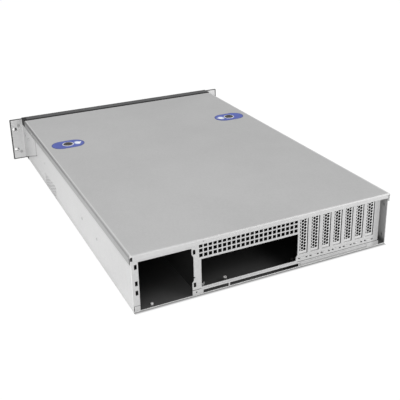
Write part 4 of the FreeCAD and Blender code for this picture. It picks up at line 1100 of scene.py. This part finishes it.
def springTree():
    tree = GeometryWork("coiledWire", {
        "Radius": ("Float", 0.0073), "Height": ("Float", 0.01), "Turns": ("Float", 5.0),
        "Wire": ("Float", 0.00045)})
    coil = tree.node("GeometryNodeCurveSpiral", None, {
        "Resolution": 24, "Rotations": tree.given("Turns"), "Start Radius": tree.given("Radius"),
        "End Radius": tree.given("Radius"), "Height": tree.given("Height")})
    ring = tree.node("GeometryNodeCurvePrimitiveCircle", None, {
        "Resolution": 8, "Radius": tree.given("Wire")})
    tube = tree.node("GeometryNodeCurveToMesh", None, {
        "Curve": coil, "Profile Curve": ring, "Fill Caps": True})
    tree.close(tube, "spring")
    return tree


def makeSprings():
    tree = springTree()
    wire = buttonLook["wire"]
    for side in ("left", "right"):
        node = "release_spring_" + side
        low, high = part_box(node)
        piece = tree.bake(node + "_made", bpy.data.meshes.new(node), "spring", {
            "Radius": (high.x - low.x) / 2 - wire, "Height": high.z - low.z - 2 * wire,
            "Turns": buttonLook["turns"], "Wire": wire})
        place = middle((low, high))
        piece.data.transform(Matrix.Translation((place.x, place.y, low.z + wire)))
        smooth(piece, degrees=60)
        put(piece, "case", "spring_steel", node)
        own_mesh(piece)


for side in ("left", "right"):
    makeRelease(side)
makeSprings()
print("release buttons made")

# Power and reset buttons

frontLook = {
    "edge": 0.6 * mm,
    "edgeMost": 0.25,  # as a share of the stem's radius
    "dish": (0.35 * mm, 0.25 * mm, 0.08 * mm),
    "rim": 1.7 * mm,
    "rimStart": 2.6 * mm,
    "rimThick": 1.6 * mm,
}


def makeFrontButton(node, body):
    low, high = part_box(node)
    place = middle((low, high))
    rim = (high.x - low.x) / 2
    stem = rim - frontLook["rim"]
    length = high.y - low.y
    edge = min(frontLook["edge"], stem * frontLook["edgeMost"])
    rimStart = length - frontLook["rimStart"]
    rimEnd = rimStart + frontLook["rimThick"]
    deep, half, shallow = frontLook["dish"]
    profile = [(0, deep), (stem * 0.6, half), (stem - 1.5 * edge, shallow), (stem - edge, 0),
               (stem - edge * 0.3, edge * 0.3), (stem, edge), (stem, rimStart), (rim, rimStart),
               (rim, rimEnd), (stem, rimEnd), (stem, length), (0, length)]
    centre = Vector((place.x, low.y, place.z))
    button = lathe(node + "_made", [(r, -z) for r, z in profile], "button", centre, "y", steps=40)
    put(button, body, "black_plastic", node)


makeFrontButton("power_button", "power")
makeFrontButton("reset_button", "reset")
print("front buttons made")

# Floor, light and camera

viewLook = {
    "place": (465.60 * mm, 1110.21 * mm, 542.41 * mm),
    "azimuth": 155.065,
    "elevation": 21.772,
    "roll": -1.269,
    "lens": 62.626,
    "sensor": 36,
    "near": 0.01,
    "shiftX": 0.0,
    "shiftY": -0.10,
}


def makeCamera():
    around = math.radians(viewLook["azimuth"])
    up = math.radians(viewLook["elevation"])
    back = Vector((math.sin(around) * math.cos(up), -math.cos(around) * math.cos(up), math.sin(up)))
    data = bpy.data.cameras.new("photoView")
    data.lens = viewLook["lens"]
    data.sensor_width = viewLook["sensor"]
    data.shift_x = viewLook["shiftX"]
    data.shift_y = viewLook["shiftY"]
    data.clip_start = viewLook["near"]
    camera = bpy.data.objects.new("photoView", data)
    bpy.context.scene.collection.objects.link(camera)
    level = (-back).to_track_quat("-Z", "Y").to_matrix()
    camera.matrix_world = (Matrix.Translation(viewLook["place"])
                           @ (Matrix.Rotation(math.radians(viewLook["roll"]), 3, back) @ level).to_4x4())
    bpy.context.scene.camera = camera


def areaLight(name, place, aim, size, power):
    data = bpy.data.lights.new(name, "AREA")
    data.shape = "DISK"
    data.size = size
    data.energy = power
    item = bpy.data.objects.new(name, data)
    item.location = place
    item.rotation_euler = (Vector(aim) - Vector(place)).to_track_quat("-Z", "Y").to_euler()
    bpy.context.scene.collection.objects.link(item)


floorLook = {
    "reach": 30,
    "drop": 0.2 * mm,
    "grainSize": 200,
    "contact": (-3 * mm, 6 * mm),  # painted contact shadow where the case meets the paper
    "fade": (-1.5 * mm, 5.5 * mm),
    "contactDark": 0.85,
    "half": 213 * mm,
    "glow": 1.04,
    "shown": 0.93,  # how much of that glow the camera and mirrors see
}


def makeFloor():
    work = bmesh.new()
    bmesh.ops.create_grid(work, x_segments=1, y_segments=1, size=floorLook["reach"])
    bmesh.ops.translate(work, vec=(0, 0, -floorLook["drop"]), verts=work.verts)
    paper = Finish("floorPaper")
    grain = paper.noise(floorLook["grainSize"], detail=2)
    soft = paper.blend(grain, grey(0.86), grey(0.9))
    behind = paper.axis("Y") - rearPlane
    # painted contact shadow along the case's rear edge, in the glow the camera sees
    dark = band(behind, *floorLook["contact"]) * paper.axis("X").size().under(floorLook["half"])
    dark = dark * (1 - behind.step(*floorLook["fade"])) * floorLook["contactDark"]
    glowing = paper.blend(dark, grey(1.0), noLight)
    diffuse = paper.node("ShaderNodeBsdfDiffuse", None, {"Color": soft})
    glow = paper.node("ShaderNodeEmission", None, {"Color": glowing, "Strength": floorLook["glow"]})
    ray = paper.node("ShaderNodeLightPath", out="Is Camera Ray")
    share = ray.most(ray.part("Is Glossy Ray")) * floorLook["shown"]
    mixed = paper.node("ShaderNodeMixShader", None, {0: share, 1: diffuse, 2: glow})
    paper.node("ShaderNodeOutputMaterial", None, {"Surface": mixed})
    finishes["floor"] = paper.material
    floor = newObject("studioFloor", meshOf(work, "studioFloor"), "floor")


worldLook = {"seen": 1.0, "light": 0.45}  # the sky's strength for the camera and for the case


def makeWorld():
    world = bpy.data.worlds.new("studio")
    bpy.context.scene.world = world
    world.use_nodes = True
    work = NodeWork()
    work.tree = world.node_tree
    work.tree.nodes.clear()
    ray = work.node("ShaderNodeLightPath", out="Is Camera Ray")
    strength = ray * (worldLook["seen"] - worldLook["light"]) + worldLook["light"]
    sky = work.node("ShaderNodeBackground", None, {"Color": grey(1.0), "Strength": strength})
    work.node("ShaderNodeOutputWorld", None, {"Surface": sky})


lights = {  # place, what it aims at, diameter, watts
    "key": ((1.6, 2.6, 1.3), (0, 0.2, 0.05), 2.6, 45),
    "fill": ((-2.2, 1.8, 1.2), (0, 0, 0), 2.8, 55),
    "top": ((0.2, -0.6, 2.6), (0, 0, 0), 2.0, 20),
}

makeCamera()
makeFloor()
makeWorld()
for name, values in lights.items():
    areaLight(name, *values)
bpy.context.scene.view_settings.view_transform = "Standard"
print("stage set")
